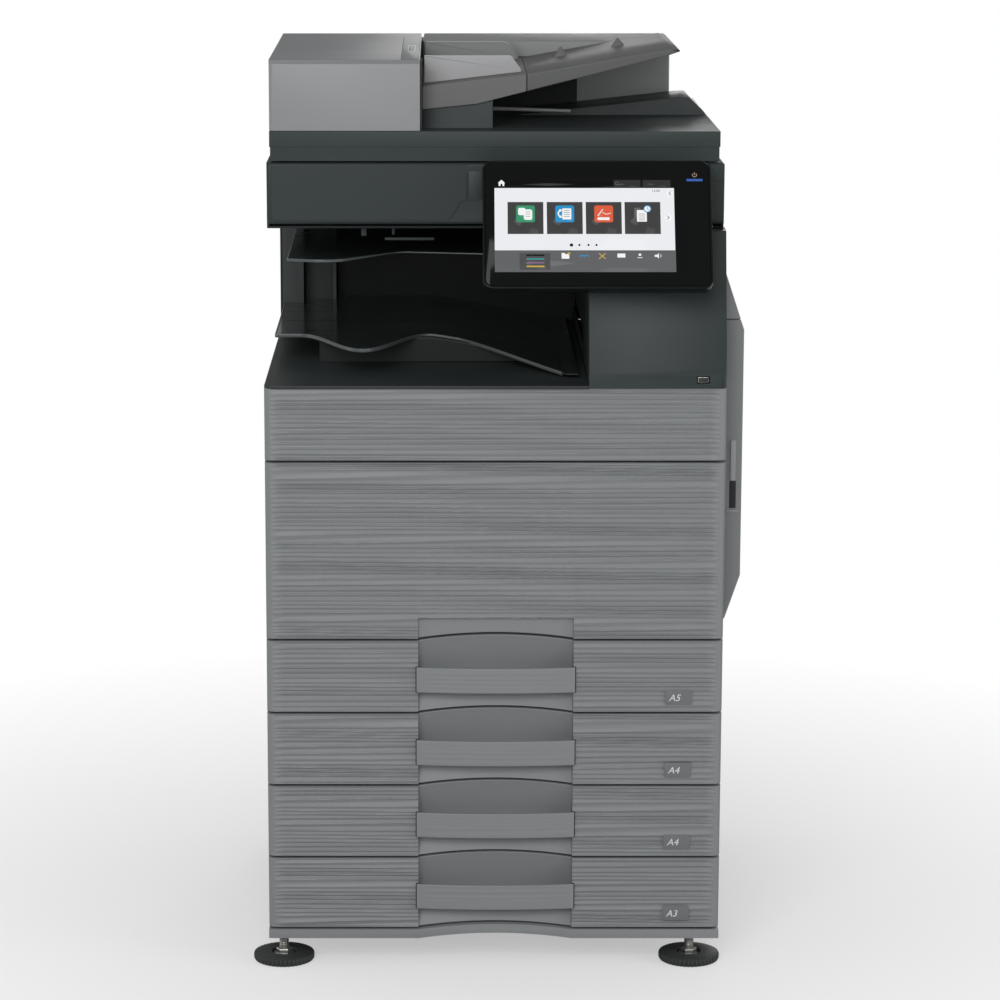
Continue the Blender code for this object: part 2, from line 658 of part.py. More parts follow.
# ---- Right side unit ----
def build_side_door():
    """The bulging door over the paper path, with the bypass tray folded into it."""
    inner, outer = HALF + FIT, HALF + SIDE_BULGE
    z0, z1, z2, z3, z4 = SIDE_Z
    outline = [(inner, z0), (inner + 0.007, z0 + 0.002), (inner + 0.010, z1), (outer, z2),
               (outer, z3), (inner + 0.001, z4), (inner, z4)]
    door = plate("side_door", outline, "y", SIDE_D, GREY)
    pocket_x = outer - BYPASS_T - FIT
    pocket = block("cut_bypass", (pocket_x, outer + PAST),
                   (BYPASS_D[0] - FIT, BYPASS_D[1] + FIT),
                   (BYPASS_Z[0] - FIT, BYPASS_Z[1] + FIT))
    hollow = block("cut_side_door", (inner - PAST, pocket_x - SKIN),
                   (SIDE_D[0] + PATH_MARGIN, SIDE_D[1] - PATH_MARGIN),
                   (z1 + 1.5 * PATH_MARGIN, z3 - PATH_MARGIN))
    cut(door, pocket, hollow)
    tray = block("bypass_tray", (outer - BYPASS_T, outer - FIT), BYPASS_D, BYPASS_Z, GREY)
    hang(pivot("bypass_axis", outer - FIT, sum(BYPASS_D) / 2, BYPASS_Z[0]), tray)
    hang(pivot("side_door_axis", inner, SIDE_D[1], (z0 + z4) / 2), door)


# ---- Output bay ----
def sheet_height(x):
    """Height of the output tray over the deck: level on the left, sloping down on the right."""
    if x <= SLOPE_START:
        return PLINTH_H
    share = min(1.0, (x - SLOPE_START) / (SLOPE_END - SLOPE_START))
    ease = share * share * (3 - 2 * share)
    return PLINTH_H + (SLOPE_FOOT - PLINTH_H) * (0.7 * share + 0.3 * ease)


def build_output_bay():
    """Deck, plinth and the housing that walls the bay and holds up the scanner."""
    edge = BAY_X - FIT
    deck = block("output_deck", (-HALF, edge), (0.0, BODY_D), (DECK_Z, DECK_TOP), DARK)
    steps = 8
    tops = [SLOPE_START + (SLOPE_END - SLOPE_START) * step / steps for step in range(steps + 1)]
    outline = [(PLINTH_X, DECK_Z + SINK), (SLOPE_END, DECK_Z + SINK)]
    outline += [(x, DECK_TOP + sheet_height(x) - FIT) for x in reversed(tops)]
    outline.append((PLINTH_X, DECK_TOP + PLINTH_H - FIT))
    join(deck, plate("plinth", outline, "y", (PLINTH_D, STEP_D - FIT)))

    tower = block("output_bay_housing", (BAY_X, HALF), (COLUMN_D, BODY_D),
                  (DECK_Z, SCAN_Z - FIT), DARK)
    hollow = block("cut_tower", (BAY_X + SKIN, HALF - SKIN), (COLUMN_D + SKIN, BODY_D - SKIN),
                   (DECK_Z - PAST, SCAN_Z - FIT - SKIN))
    slot_x = (BAY_X - PAST, BAY_X + PAST)
    lower_exit = block("cut_lower_exit", slot_x, EXIT_SLOT_D,
                       (DECK_TOP + 0.022, DECK_TOP + 0.042))
    upper_exit = block("cut_upper_exit", slot_x, EXIT_SLOT_D,
                       (UPPER_SHEET_Z + 0.006, UPPER_SHEET_Z + 0.022))
    cut(tower, hollow, lower_exit, upper_exit)
    wall = BODY_D - REAR_WALL
    foot = DECK_TOP + FIT
    high = (foot, SCAN_Z - FIT)
    rear = block("bay_rear_wall", (-HALF, BAY_X + SINK), (wall, BODY_D), high)
    pillar = block("bay_pillar", (-HALF, PILLAR_X), (PILLAR_D, wall + SINK), high)
    step = block("bay_step", (PILLAR_X - SINK, STEP_X), (STEP_D, wall + SINK), high)
    join(tower, rear, pillar, step)

    column = [(0.0, DECK_Z), (COLUMN_D - FIT, DECK_Z), (COLUMN_D - FIT, SCAN_Z - FIT),
              (COLUMN_LEAN, SCAN_Z - FIT), (0.0, DECK_Z + COLUMN_FOOT)]
    front = plate("right_column", column, "x", (BAY_X, HALF - 0.001), DARK)
    cut(front, block("cut_port", PORT_X, (-PAST, PORT_DEPTH), PORT_Z))


def build_output_trays():
    """The smoked output tray with its scalloped front edge, and the tray over it."""
    right = BAY_X - 0.011
    columns, rows = 36, 6
    column = (right - SHEET_LEFT) / columns
    wall = BODY_D - REAR_WALL
    shape = bmesh.new()
    bmesh.ops.create_grid(shape, x_segments=columns, y_segments=rows, size=0.5)
    for vert in shape.verts:
        x = SHEET_LEFT + (right - SHEET_LEFT) * (vert.co.x + 0.5)
        share = (x - SCALLOP_X[0]) / (SCALLOP_X[1] - SCALLOP_X[0])
        share = min(1.0, max(0.0, share))
        front = PLINTH_D - SCALLOP_REACH * math.sin(math.pi * share) ** 2
        back = wall - 2 * FIT
        if x < STEP_X + column:
            back = STEP_D - 2 * FIT
        if x < PILLAR_X + column:
            back = PILLAR_D - 2 * FIT
        d = back + (front - back) * (0.5 - vert.co.y)
        vert.co = (x, d, DECK_TOP + sheet_height(x) + SHEET_THICK / 2)
    mesh = bpy.data.meshes.new("output_tray")
    shape.to_mesh(mesh)
    shape.free()
    tray = add_object("output_tray", mesh, at(0, 0, 0), SMOKE)
    skin = tray.modifiers.new("skin", "SOLIDIFY")
    skin.thickness = SHEET_THICK - 2 * FIT
    skin.offset = 0.0

    edge, back, left = BAY_X - FIT, wall - FIT, UPPER_SHEET_X
    step_x, step_d = STEP_X + FIT, STEP_D - FIT
    outline = [(step_x, step_d), (PILLAR_X + FIT, step_d), (PILLAR_X + FIT, PILLAR_D - FIT),
               (left, PILLAR_D - FIT), (left, 0.090), (left + 0.009, 0.078),
               (left + 0.061, 0.078), (left + 0.173, 0.200), (left + 0.223, 0.235),
               (edge, 0.250), (edge, back), (step_x, back)]
    plate("upper_output_tray", outline, "z",
          (UPPER_SHEET_Z, UPPER_SHEET_Z + SHEET_THICK), SMOKE)


# ---- Scanner ----
def build_scanner():
    """Flatbed housing with its window, rails, lid knuckles and the panel's arm."""
    bevel, edge = SCAN_BEVEL, 0.002
    outline = [(SCAN_D + bevel, SCAN_Z), (BODY_D, SCAN_Z), (BODY_D, SCAN_TOP),
               (SCAN_D + edge, SCAN_TOP), (SCAN_D, SCAN_TOP - edge), (SCAN_D, SCAN_Z + bevel)]
    housing = plate("scanner_housing", outline, "x", (-SCAN_HALF, SCAN_HALF), DARK)
    roof = SCAN_TOP - GLASS_T - SKIN
    hollow = block("cut_scanner", (-SCAN_HALF + SKIN, SCAN_HALF - SKIN),
                   (SCAN_D + SKIN, BODY_D - SKIN), (SCAN_Z + SKIN, roof))
    window = block("cut_window", (-GLASS_HALF + LEDGE, GLASS_HALF - LEDGE),
                   (GLASS_D[0] + LEDGE, GLASS_D[1] - LEDGE), (roof - PAST, SCAN_TOP + PAST))
    recess = block("cut_glass", (-GLASS_HALF - FIT, GLASS_HALF + FIT),
                   (GLASS_D[0] - FIT, GLASS_D[1] + FIT), (SCAN_TOP - GLASS_T, SCAN_TOP + PAST))
    arm = block("panel_arm", ARM_X, (PIVOT_D + 0.004, SCAN_D + SINK),
                (PIVOT_Z - ARM_HALF, PIVOT_Z + ARM_HALF))
    knuckle = rod("panel_knuckle", (sum(ARM_X) / 2, PIVOT_D, PIVOT_Z), PIVOT_R,
                  ARM_X[1] - ARM_X[0], "x", sides=24)
    cut(housing, hollow, window, recess)
    join(housing, arm, knuckle)
    rail_x = (-GLASS_HALF - 0.045, GLASS_HALF + 0.045)
    for tag, d in (("front", GLASS_D[0] + 0.020), ("rear", GLASS_D[1] - 0.030)):
        join(housing, block(f"rail_{tag}", rail_x, (d, d + 0.010),
                            (SCAN_Z + SKIN - SINK, RAIL_TOP)))
    for side in (-1, 1):
        x = side * HINGE_X
        post = block(f"hinge_post_{side}", (x - KNUCKLE_W / 2, x + KNUCKLE_W / 2),
                     (HINGE_D - KNUCKLE_R, HINGE_D + KNUCKLE_R), (SCAN_TOP - SINK, HINGE_Z))
        barrel = rod(f"hinge_barrel_{side}", (x, HINGE_D, HINGE_Z), KNUCKLE_R, KNUCKLE_W, "x",
                     sides=24)
        join(housing, post, barrel)
    block("platen_glass", (-GLASS_HALF, GLASS_HALF), GLASS_D,
          (SCAN_TOP - GLASS_T + FIT, SCAN_TOP), GLASS)
    carriage = block("scan_carriage", CARRIAGE_X, (GLASS_D[0] + 0.005, GLASS_D[1] - 0.005),
                     (RAIL_TOP + FIT, RAIL_TOP + CARRIAGE_H), BLACK)
    hang(pivot("carriage_slide", sum(CARRIAGE_X) / 2, sum(GLASS_D) / 2, RAIL_TOP), carriage)


# ---- Lid and document feeder ----
def tray_under(x):
    """Height of the document tray's lower face over the feeder's throat."""
    (x1, z1), (x0, z0) = TRAY_UNDER[1:]
    return z0 + (z1 - z0) * (x - x0) / (x1 - x0)


def build_lid():
    """The lid, whose top carries the feeder's frame and catches the ejected originals."""
    lid = block("feeder_lid", LID_X, LID_D, (LID_Z + LID_BAND, LID_TOP), DARK)
    lower = block("lid_lower_band", (LID_X[0] + BAND_INSET, LID_X[1] - BAND_INSET),
                  (LID_D[0] + BAND_INSET, LID_D[1] - BAND_INSET),
                  (LID_Z, LID_Z + LID_BAND + SINK))
    left, sunk = TRAY_TOP[0][0], LID_TOP - SINK
    frame = block("feeder_frame", (COVER_X[0] + 0.004, COVER_X[1] - 0.002),
                  (COVER_D[0] + 0.006, COVER_D[1] - 0.006), (sunk, LID_TOP + CORE_H))
    throat = plate("feeder_throat",
                   [(left, sunk), (THROAT_X, sunk), (THROAT_X, tray_under(THROAT_X) - FIT),
                    (left, tray_under(left) - FIT)],
                   "y", (DOC_TRAY_D[0] + 0.004, DOC_TRAY_D[1]))
    right, crest = LID_X[1] - 0.001, LID_TOP + RIDGE_H
    ridge = plate("exit_ridge",
                  [(DOC_BEND - 0.022, sunk), (right, sunk), (right - 0.003, LID_TOP + 0.004),
                   (RIDGE_X, crest), (RIDGE_X - 0.016, crest - 0.0005)],
                  "y", (REAR_HOUSING_D[0] - 0.110, REAR_HOUSING_D[0] - 0.002))
    join(lid, lower, frame, throat, ridge)
    posts = []
    core = LID_TOP + CORE_H
    for tag, d in (("front", ROLLER_D[0] - 0.010), ("rear", ROLLER_D[1])):
        posts.append(block(f"roller_post_{tag}", (ROLLER_X - 0.010, ROLLER_X + 0.010),
                           (d, d + 0.010), (core - SINK, core + 0.020)))
    for side in (-1, 1):
        x = side * (HINGE_X + KNUCKLE_W / 2 + FIT + EAR_W / 2)
        posts.append(rod(f"lid_ear_{side}", (x, HINGE_D, HINGE_Z), KNUCKLE_R, EAR_W, "x",
                         sides=24))
        posts.append(block(f"lid_ear_arm_{side}", (x - EAR_W / 2, x + EAR_W / 2),
                           (LID_D[1] - 0.003, HINGE_D), (HINGE_Z - 0.006, HINGE_Z + 0.007)))
    join(lid, *posts)
    axis = (ROLLER_X, sum(ROLLER_D) / 2, core + ROLLER_R + 0.0015)
    span = ROLLER_D[1] - ROLLER_D[0]
    roller = rod("pickup_roller", axis, ROLLER_R, span - 0.030, "y", RUBBER, sides=28)
    join(roller, rod("pickup_shaft", axis, 0.003, span - 2 * FIT, "y", sides=14))
    hang(pivot("pickup_axis", *axis), roller)
    hang(pivot("lid_axis", 0.0, HINGE_D, HINGE_Z), lid)


def build_feeder_cover():
    """Light cover over the feed rollers, open below and towards the document tray."""
    base = LID_TOP + FIT
    top = LID_TOP + FEEDER_H
    d0, d1 = COVER_D
    outline = [(d0, base), (d1, base), (d1, top + COVER_RISE - 0.006),
               (d1 - 0.008, top + COVER_RISE), (d0 + 0.006, top + 0.001), (d0, top - 0.004)]
    cover = plate("feeder_cover", outline, "x", COVER_X, LIGHT)
    inner = [(d0 + SHELL, base - PAST), (d1 - SHELL, base - PAST),
             (d1 - SHELL, top + COVER_RISE - 0.008), (d1 - 0.010, top + COVER_RISE - SHELL),
             (d0 + 0.008, top + 0.001 - SHELL), (d0 + SHELL, top - 0.006)]
    cut(cover, plate("cut_cover", inner, "x", (COVER_X[0] + SHELL, COVER_X[1] + PAST)))
    hang(pivot("cover_axis", COVER_X[0], sum(COVER_D) / 2, base), cover)

    x0, x1 = REAR_HOUSING_X
    d0, d1 = REAR_HOUSING_D
    high = LID_TOP + REAR_HOUSING_H
    outline = [(d0, base), (d1, base), (d1, high - 0.010), (d1 - 0.008, high), (d0, high - 0.003)]
    plate("feeder_rear_housing", outline, "x", (x0, x1), GREY)


def tray_top(x):
    """Height of the document tray's upper face."""
    (x0, z0), (x1, z1), (x2, z2) = TRAY_TOP
    if x < x1:
        return z0 + (z1 - z0) * (x - x0) / (x1 - x0)
    return z1 + (z2 - z1) * (x - x1) / (x2 - x1)


def build_document_tray():
    """The lifting document tray and its two paper guides."""
    tray = plate("document_tray", [*TRAY_UNDER[::-1], *TRAY_TOP[::-1]], "y", DOC_TRAY_D, GREY)
    hang(pivot("document_tray_axis", DOC_AXIS[0], sum(DOC_TRAY_D) / 2, DOC_AXIS[1]), tray)
    ends = (TRAY_TOP[0][0] + 0.002, TRAY_TOP[1][0] - 0.006)
    for side, d, surface in (("front", GUIDE_D[0], LIGHT), ("rear", GUIDE_D[1], GREY)):
        high = tray_top(ends[0]) + GUIDE_H
        outline = [(ends[0], tray_top(ends[0]) + FIT), (ends[1], tray_top(ends[1]) + FIT),
                   (ends[1] - 0.002, high - 0.012), (ends[1] - 0.012, high), (ends[0], high)]
        guide = plate(f"document_guide_{side}", outline, "y", (d, d + GUIDE_T), surface)
        hang(pivot(f"guide_slide_{side}", ends[0], d, outline[0][1]), guide)


# ---- Control panel ----
def panel_box(name, x, depth, height, surface=None, corner=None):
    """A plate in the panel's own frame: depth and height are from the tilt axis."""
    if corner is None:
        outline = [(x[0], height[0]), (x[1], height[0]), (x[1], height[1]), (x[0], height[1])]
    else:
        outline = rounded(x, height, corner)
    return plate(name, outline, "y", depth, surface, local=True)


def build_panel():
    """Tilting panel: a housing with lugs on the arm's knuckle, and the glass in its face."""
    axis = pivot("panel_axis", 0.0, PIVOT_D, PIVOT_Z, turn=-PANEL_TILT)
    x = (PANEL_LEFT, PANEL_LEFT + PANEL_W)
    face = -PANEL_BACK - PANEL_T
    height = (-PANEL_BELOW, PANEL_H - PANEL_BELOW)
    housing = panel_box("panel_housing", x, (face, -PANEL_BACK), height, BLACK, PANEL_CORNER)
    corner = PANEL_CORNER - PANEL_RIM
    inset = ((x[0] + PANEL_RIM, x[1] - PANEL_RIM),
             (height[0] + PANEL_RIM, height[1] - PANEL_RIM))
    recess = panel_box("cut_panel", (inset[0][0] - FIT, inset[0][1] + FIT),
                       (face - PAST, face + PANEL_GLASS_T + FIT),
                       (inset[1][0] - FIT, inset[1][1] + FIT), corner=corner + FIT)
    glass = panel_box("touch_screen", inset[0], (face, face + PANEL_GLASS_T), inset[1], BLACK,
                      corner)
    lugs = []
    for tag, start in (("left", ARM_X[0] - 2 * FIT - LUG_W), ("right", ARM_X[1] + 2 * FIT)):
        span = (start, start + LUG_W)
        lugs.append(panel_box(f"lug_{tag}", span, (-PANEL_BACK - SINK, 0.0),
                              (-PIVOT_R, PIVOT_R)))
        barrel = rod(f"lug_barrel_{tag}", (0, 0, 0), PIVOT_R, LUG_W, "x", sides=24)
        barrel.location = (sum(span) / 2, 0.0, 0.0)
        lugs.append(barrel)
    cut(housing, recess)
    join(housing, *lugs)
    carry(axis, housing, glass, recess, *lugs)


build_stand()
build_feet()
build_casters()
for drawer in range(DRAWERS):
    build_drawer(drawer)
build_engine()
build_front_door()
build_image_units()
build_fuser()
build_side_door()
build_output_bay()
build_output_trays()
build_scanner()
build_lid()
build_feeder_cover()
build_document_tray()
build_panel()
bpy.context.view_layer.update()
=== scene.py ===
"""Looks of a floor-standing A3 copier: ribbed grey fronts, slate scanner, glossy tilting panel.

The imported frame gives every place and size. Each section below finishes one piece, or one group
of like pieces, in the order in which the copier is put together from the floor up.
"""
import json
import math

import bmesh
import bpy
import numpy as np
from mathutils import Matrix, Vector

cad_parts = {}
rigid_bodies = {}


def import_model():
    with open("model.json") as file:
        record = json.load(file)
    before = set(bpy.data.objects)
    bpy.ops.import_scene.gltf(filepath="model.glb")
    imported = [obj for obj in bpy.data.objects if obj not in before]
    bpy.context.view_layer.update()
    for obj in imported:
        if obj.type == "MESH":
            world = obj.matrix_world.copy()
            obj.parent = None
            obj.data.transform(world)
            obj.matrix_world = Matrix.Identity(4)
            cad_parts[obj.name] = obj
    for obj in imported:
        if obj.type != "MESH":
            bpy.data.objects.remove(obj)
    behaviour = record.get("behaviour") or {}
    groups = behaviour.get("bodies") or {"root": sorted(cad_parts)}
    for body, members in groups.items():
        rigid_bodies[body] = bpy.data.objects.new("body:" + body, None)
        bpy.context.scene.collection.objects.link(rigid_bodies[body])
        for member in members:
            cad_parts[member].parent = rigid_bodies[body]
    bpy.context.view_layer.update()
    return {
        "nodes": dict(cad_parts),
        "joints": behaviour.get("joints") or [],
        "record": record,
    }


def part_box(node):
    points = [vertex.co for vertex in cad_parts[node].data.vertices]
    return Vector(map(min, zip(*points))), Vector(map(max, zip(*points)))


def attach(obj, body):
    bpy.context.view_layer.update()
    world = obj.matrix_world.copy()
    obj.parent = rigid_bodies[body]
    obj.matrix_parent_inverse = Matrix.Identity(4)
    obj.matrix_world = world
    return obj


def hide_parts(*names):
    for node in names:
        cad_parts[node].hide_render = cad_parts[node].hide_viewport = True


for old in list(bpy.data.objects):
    bpy.data.objects.remove(old)
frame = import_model()
body_of = {node: body for body, nodes in frame["record"]["behaviour"]["bodies"].items()
           for node in nodes}


# ---- Camera ----
# A long lens at standing eye height, a little left of the copier, so that the tops of the lid
# and the trays show above their front edges. The frame is slid right to take in the side door.
camera = bpy.data.cameras.new("camera")
camera.sensor_width = 36.0
camera.lens = 124.8
camera.shift_x = 0.06
camera.clip_end = 200.0
view = bpy.data.objects.new("camera", camera)
view.location = (-0.0735, -4.619, 1.505)
view.rotation_euler = (math.radians(90.0 - 11.46), 0.0, 0.0)
bpy.context.scene.collection.objects.link(view)
bpy.context.scene.camera = view
bpy.context.scene.view_settings.view_transform = "Standard"


# ---- Studio ----
# White surroundings for the eye, for gloss and for glass; a dimmer even dome for the light; and
# broad soft lamps in front, behind and at the sides.
def node(tree, kind, **values):
    """Adds a shader node; in_NAME or in_NUMBER sets an input, or links it to a given output."""
    made = tree.nodes.new(kind)
    for key, value in values.items():
        if not key.startswith("in_"):
            setattr(made, key, value)
            continue
        slot = key[3:].replace("_", " ")
        slot = made.inputs[int(slot) if slot.isdigit() else slot]
        if isinstance(value, bpy.types.NodeSocket):
            tree.links.new(value, slot)
        else:
            slot.default_value = value
    return made


DOME = 0.42
world = bpy.data.worlds.new("studio")
bpy.context.scene.world = world
world.use_nodes = True
tree = world.node_tree
tree.nodes.clear()
rays = node(tree, "ShaderNodeLightPath").outputs
seen = node(tree, "ShaderNodeMath", operation="MAXIMUM", in_0=rays["Is Camera Ray"],
            in_1=rays["Is Transmission Ray"])
strength = node(tree, "ShaderNodeMapRange", in_0=seen.outputs[0], in_3=DOME, in_4=1.0)
sky = node(tree, "ShaderNodeBackground", in_Strength=strength.outputs[0])
node(tree, "ShaderNodeOutputWorld", in_0=sky.outputs[0])


def lamp(name, size, power, place, target):
    """A square soft lamp at a place, facing a target."""
    light = bpy.data.lights.new(name, "AREA")
    light.size = size
    light.energy = power
    made = bpy.data.objects.new(name, light)
    made.location = place
    aim = Vector(target) - Vector(place)
    made.rotation_euler = aim.to_track_quat("-Z", "Y").to_euler()
    bpy.context.scene.collection.objects.link(made)


lamp("front_lamp", 2.2, 78.0, (-0.8, -3.7, 2.25), (0.0, 0.0, 0.95))
lamp("right_lamp", 2.0, 34.0, (3.4, -1.6, 1.3), (0.0, 0.0, 0.7))
lamp("left_lamp", 2.0, 16.0, (-3.6, 0.4, 1.2), (0.0, 0.0, 0.7))
lamp("back_lamp", 1.6, 40.0, (0.6, 3.6, 0.9), (0.0, 0.0, 0.6))

# The floor is a wide pale disc. It turns to plain white away from the copier.
FLOOR_R = 40.0
floor_mesh = bpy.data.meshes.new("floor")
shape = bmesh.new()
bmesh.ops.create_circle(shape, cap_ends=True, segments=96, radius=FLOOR_R)
shape.to_mesh(floor_mesh)
shape.free()
floor = bpy.data.objects.new("floor", floor_mesh)
bpy.context.scene.collection.objects.link(floor)
pale = bpy.data.materials.new("floor_pale")
pale.use_nodes = True
tree = pale.node_tree
tree.nodes.clear()
spot = node(tree, "ShaderNodeTexCoord").outputs["Object"]
reach = node(tree, "ShaderNodeVectorMath", operation="LENGTH", in_0=spot)
fade = node(tree, "ShaderNodeMapRange", in_0=reach.outputs["Value"], in_1=0.35, in_2=1.5,
            in_3=0.45, in_4=1.0)
rays = node(tree, "ShaderNodeLightPath").outputs
share = node(tree, "ShaderNodeMath", operation="MULTIPLY", in_0=fade.outputs[0],
             in_1=rays["Is Camera Ray"])
matt = node(tree, "ShaderNodeBsdfDiffuse", in_Color=(0.86, 0.86, 0.86, 1.0))
white = node(tree, "ShaderNodeEmission", in_Strength=1.0)
mixed = node(tree, "ShaderNodeMixShader", in_0=share.outputs[0], in_1=matt.outputs[0],
             in_2=white.outputs[0])
node(tree, "ShaderNodeOutputMaterial", in_0=mixed.outputs[0])
floor_mesh.materials.append(pale)


# ---- Stand cabinet ----
# A moulded and sheet-steel carcass on castors that holds the three lower drawers. Its edges are
# folded, so they are rounded, and its paint has a fine even grain.
def new_group(name, inputs, outputs):
    """A shader node group with named inputs {name: (kind, default)} and outputs {name: kind}."""
    group = bpy.data.node_groups.new(name, "ShaderNodeTree")
    kinds = {"value": "NodeSocketFloat", "colour": "NodeSocketColor", "vector": "NodeSocketVector"}
    for label, (kind, default) in inputs.items():
        made = group.interface.new_socket(label, in_out="INPUT", socket_type=kinds[kind])
        made.default_value = default
    for label, kind in outputs.items():
        group.interface.new_socket(label, in_out="OUTPUT", socket_type=kinds[kind])
    return group, group.nodes.new("NodeGroupInput"), group.nodes.new("NodeGroupOutput")


# Moulded grain: a fine noise for the tooth of the surface, a broad one for the slight unevenness
# of the colour, a lighter tone on convex edges and ripple crests, which is partly rubbed wear and
# partly a painted highlight, and a little dust on what faces up.
group, given, out = new_group(
    "moulded_grain",
    {"Colour": ("colour", (0.2, 0.2, 0.2, 1.0)), "Roughness": ("value", 0.45),
     "Grain": ("value", 900.0), "Mottle": ("value", 0.06), "Wear": ("value", 0.25),
     "Dust": ("value", 0.05)},
    {"Colour": "colour", "Roughness": "value", "Height": "value"})
given, link = given.outputs, group.links.new
spot = node(group, "ShaderNodeTexCoord").outputs["Object"]
tooth = node(group, "ShaderNodeTexNoise", in_Vector=spot, in_Scale=given["Grain"],
             in_Detail=3.0, in_Roughness=0.6)
broad = node(group, "ShaderNodeTexNoise", in_Vector=spot, in_Scale=9.0, in_Detail=4.0).outputs[0]
centred = node(group, "ShaderNodeMath", operation="SUBTRACT", in_0=broad, in_1=0.5).outputs[0]
uneven = node(group, "ShaderNodeMath", operation="MULTIPLY_ADD", in_0=centred,
              in_1=given["Mottle"], in_2=1.0)
toned = node(group, "ShaderNodeVectorMath", operation="SCALE", in_0=given["Colour"],
             in_Scale=uneven.outputs[0]).outputs[0]
surface = node(group, "ShaderNodeNewGeometry").outputs
# Pointiness lightens convex edges and the crests of the ripples: rubbed wear, and a painted
# highlight on the crests.
edge = node(group, "ShaderNodeMapRange", in_0=surface["Pointiness"], in_1=0.52, in_2=0.62)
edge_wear_and_highlight = node(group, "ShaderNodeMath", operation="MULTIPLY", in_0=edge.outputs[0],
              in_1=given["Wear"])
lighter = node(group, "ShaderNodeVectorMath", operation="MULTIPLY_ADD", in_0=toned,
               in_1=(1.35, 1.35, 1.35), in_2=(0.02, 0.02, 0.02))
wear_and_highlight_mix = node(group, "ShaderNodeMix", data_type="RGBA", in_Factor=edge_wear_and_highlight.outputs[0], in_6=toned,
            in_7=lighter.outputs[0])
split = node(group, "ShaderNodeSeparateXYZ", in_0=surface["Normal"])
facing = node(group, "ShaderNodeMapRange", in_0=split.outputs["Z"], in_1=0.75, in_2=1.0)
settled = node(group, "ShaderNodeMath", operation="MULTIPLY", in_0=facing.outputs[0], in_1=broad)
dusty = node(group, "ShaderNodeMath", operation="MULTIPLY", in_0=settled.outputs[0],
             in_1=given["Dust"]).outputs[0]
dusted = node(group, "ShaderNodeMix", data_type="RGBA", in_Factor=dusty, in_6=wear_and_highlight_mix.outputs[2],
              in_7=(0.45, 0.45, 0.44, 1.0))
link(dusted.outputs[2], out.inputs["Colour"])
rough = node(group, "ShaderNodeMath", operation="MULTIPLY_ADD", in_0=centred, in_1=0.18,
             in_2=given["Roughness"])
rougher = node(group, "ShaderNodeMath", operation="ADD", use_clamp=True, in_0=rough.outputs[0],
               in_1=dusty)
link(rougher.outputs[0], out.inputs["Roughness"])
link(tooth.outputs[0], out.inputs["Height"])


GRAIN_HEIGHT = 0.0004


def moulded(name, colour, roughness, grain=900.0, bump=0.12, **options):
    """A moulded plastic or painted metal: the grain group feeding one Principled shader."""
    made = bpy.data.materials.new(name)
    made.use_nodes = True
    tree = made.node_tree
    shader = tree.nodes["Principled BSDF"].inputs
    effect = node(tree, "ShaderNodeGroup", node_tree=bpy.data.node_groups["moulded_grain"],
                  in_Colour=(*colour, 1.0), in_Roughness=roughness, in_Grain=grain)
    for label in ("Mottle", "Wear", "Dust"):
        if label.lower() in options:
            effect.inputs[label].default_value = options.pop(label.lower())
    tooth = node(tree, "ShaderNodeBump", in_Strength=bump, in_Distance=GRAIN_HEIGHT,
                 in_Height=effect.outputs["Height"])
    tree.links.new(effect.outputs["Colour"], shader["Base Color"])
    tree.links.new(effect.outputs["Roughness"], shader["Roughness"])
    tree.links.new(tooth.outputs[0], shader["Normal"])
    for label, value in options.items():
        shader[label.replace("_", " ").title().replace("Ior", "IOR")].default_value = value
    return made


GREY = moulded("body_grey_plastic", (0.200, 0.210, 0.214), 0.50)
STEEL = moulded("zinc_steel", (0.55, 0.55, 0.53), 0.34, grain=1400.0, bump=0.05, metallic=1.0)


def place(name, mesh, body, slot, material, smooth=35.0):
    """Makes the object of a finished mesh, shades it and hangs it on its body."""
    mesh.materials.append(material)
    mesh.shade_smooth()
    if smooth:
        mesh.set_sharp_from_angle(angle=math.radians(smooth))
    made = bpy.data.objects.new(name, mesh)
    bpy.context.scene.collection.objects.link(made)
    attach(made, body)
    return made


WELD = 2e-6               # points closer than this are one point
FLAT = math.radians(1.0)
SHARP = math.radians(30.0)
SHARP_HERE = 0.5          # radians, where round_at rounds


def soften(name, material, slot, width, segments=2, label="", between=None, round_at=()):
    """Stands for a CAD node: its merged mesh, with each edge over 30 degrees rounded.

    Between keeps only the slab from a low to a high value along one axis, capped at both. Each
    entry of round_at is a radius and the box in which sharp edges take that larger rounding.
    """
    shape = bmesh.new()
    shape.from_mesh(frame["nodes"][name].data)
    bmesh.ops.remove_doubles(shape, verts=shape.verts, dist=WELD)
    bmesh.ops.dissolve_limit(shape, angle_limit=FLAT, verts=shape.verts,
                             edges=shape.edges, use_dissolve_boundaries=False)
    if between:
        axis, *limits = between
        for limit, way in zip(limits, (-1.0, 1.0)):
            point = [limit if number == axis else 0.0 for number in range(3)]
            normal = [way if number == axis else 0.0 for number in range(3)]
            parts = shape.verts[:] + shape.edges[:] + shape.faces[:]
            bmesh.ops.bisect_plane(shape, geom=parts, plane_co=point, plane_no=normal,
                                   clear_outer=True, dist=1e-7)
            rim = [edge for edge in shape.edges if edge.is_boundary]
            bmesh.ops.edgeloop_fill(shape, edges=rim)
    for radius, low, high in round_at:
        near = [edge for edge in shape.edges if edge.calc_face_angle(0.0) > SHARP_HERE and all(
            low[k] <= vert.co[k] <= high[k] for vert in edge.verts for k in range(3))]
        bmesh.ops.bevel(shape, geom=near, offset=radius, segments=6, affect="EDGES", profile=0.5)
    finished = f"{label or name}_finished"
    mesh = bpy.data.meshes.new(finished)
    shape.to_mesh(mesh)
    shape.free()
    made = place(finished, mesh, body_of[name], slot, material, smooth=0)
    edge = made.modifiers.new("rounded", "BEVEL")
    edge.width = width
    edge.segments = segments
    edge.limit_method = "ANGLE"
    edge.angle_limit = SHARP
    edge.harden_normals = True
    edge.miter_outer = "MITER_ARC"
    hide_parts(name)


soften("stand_cabinet", GREY, "body_grey", 0.0012)


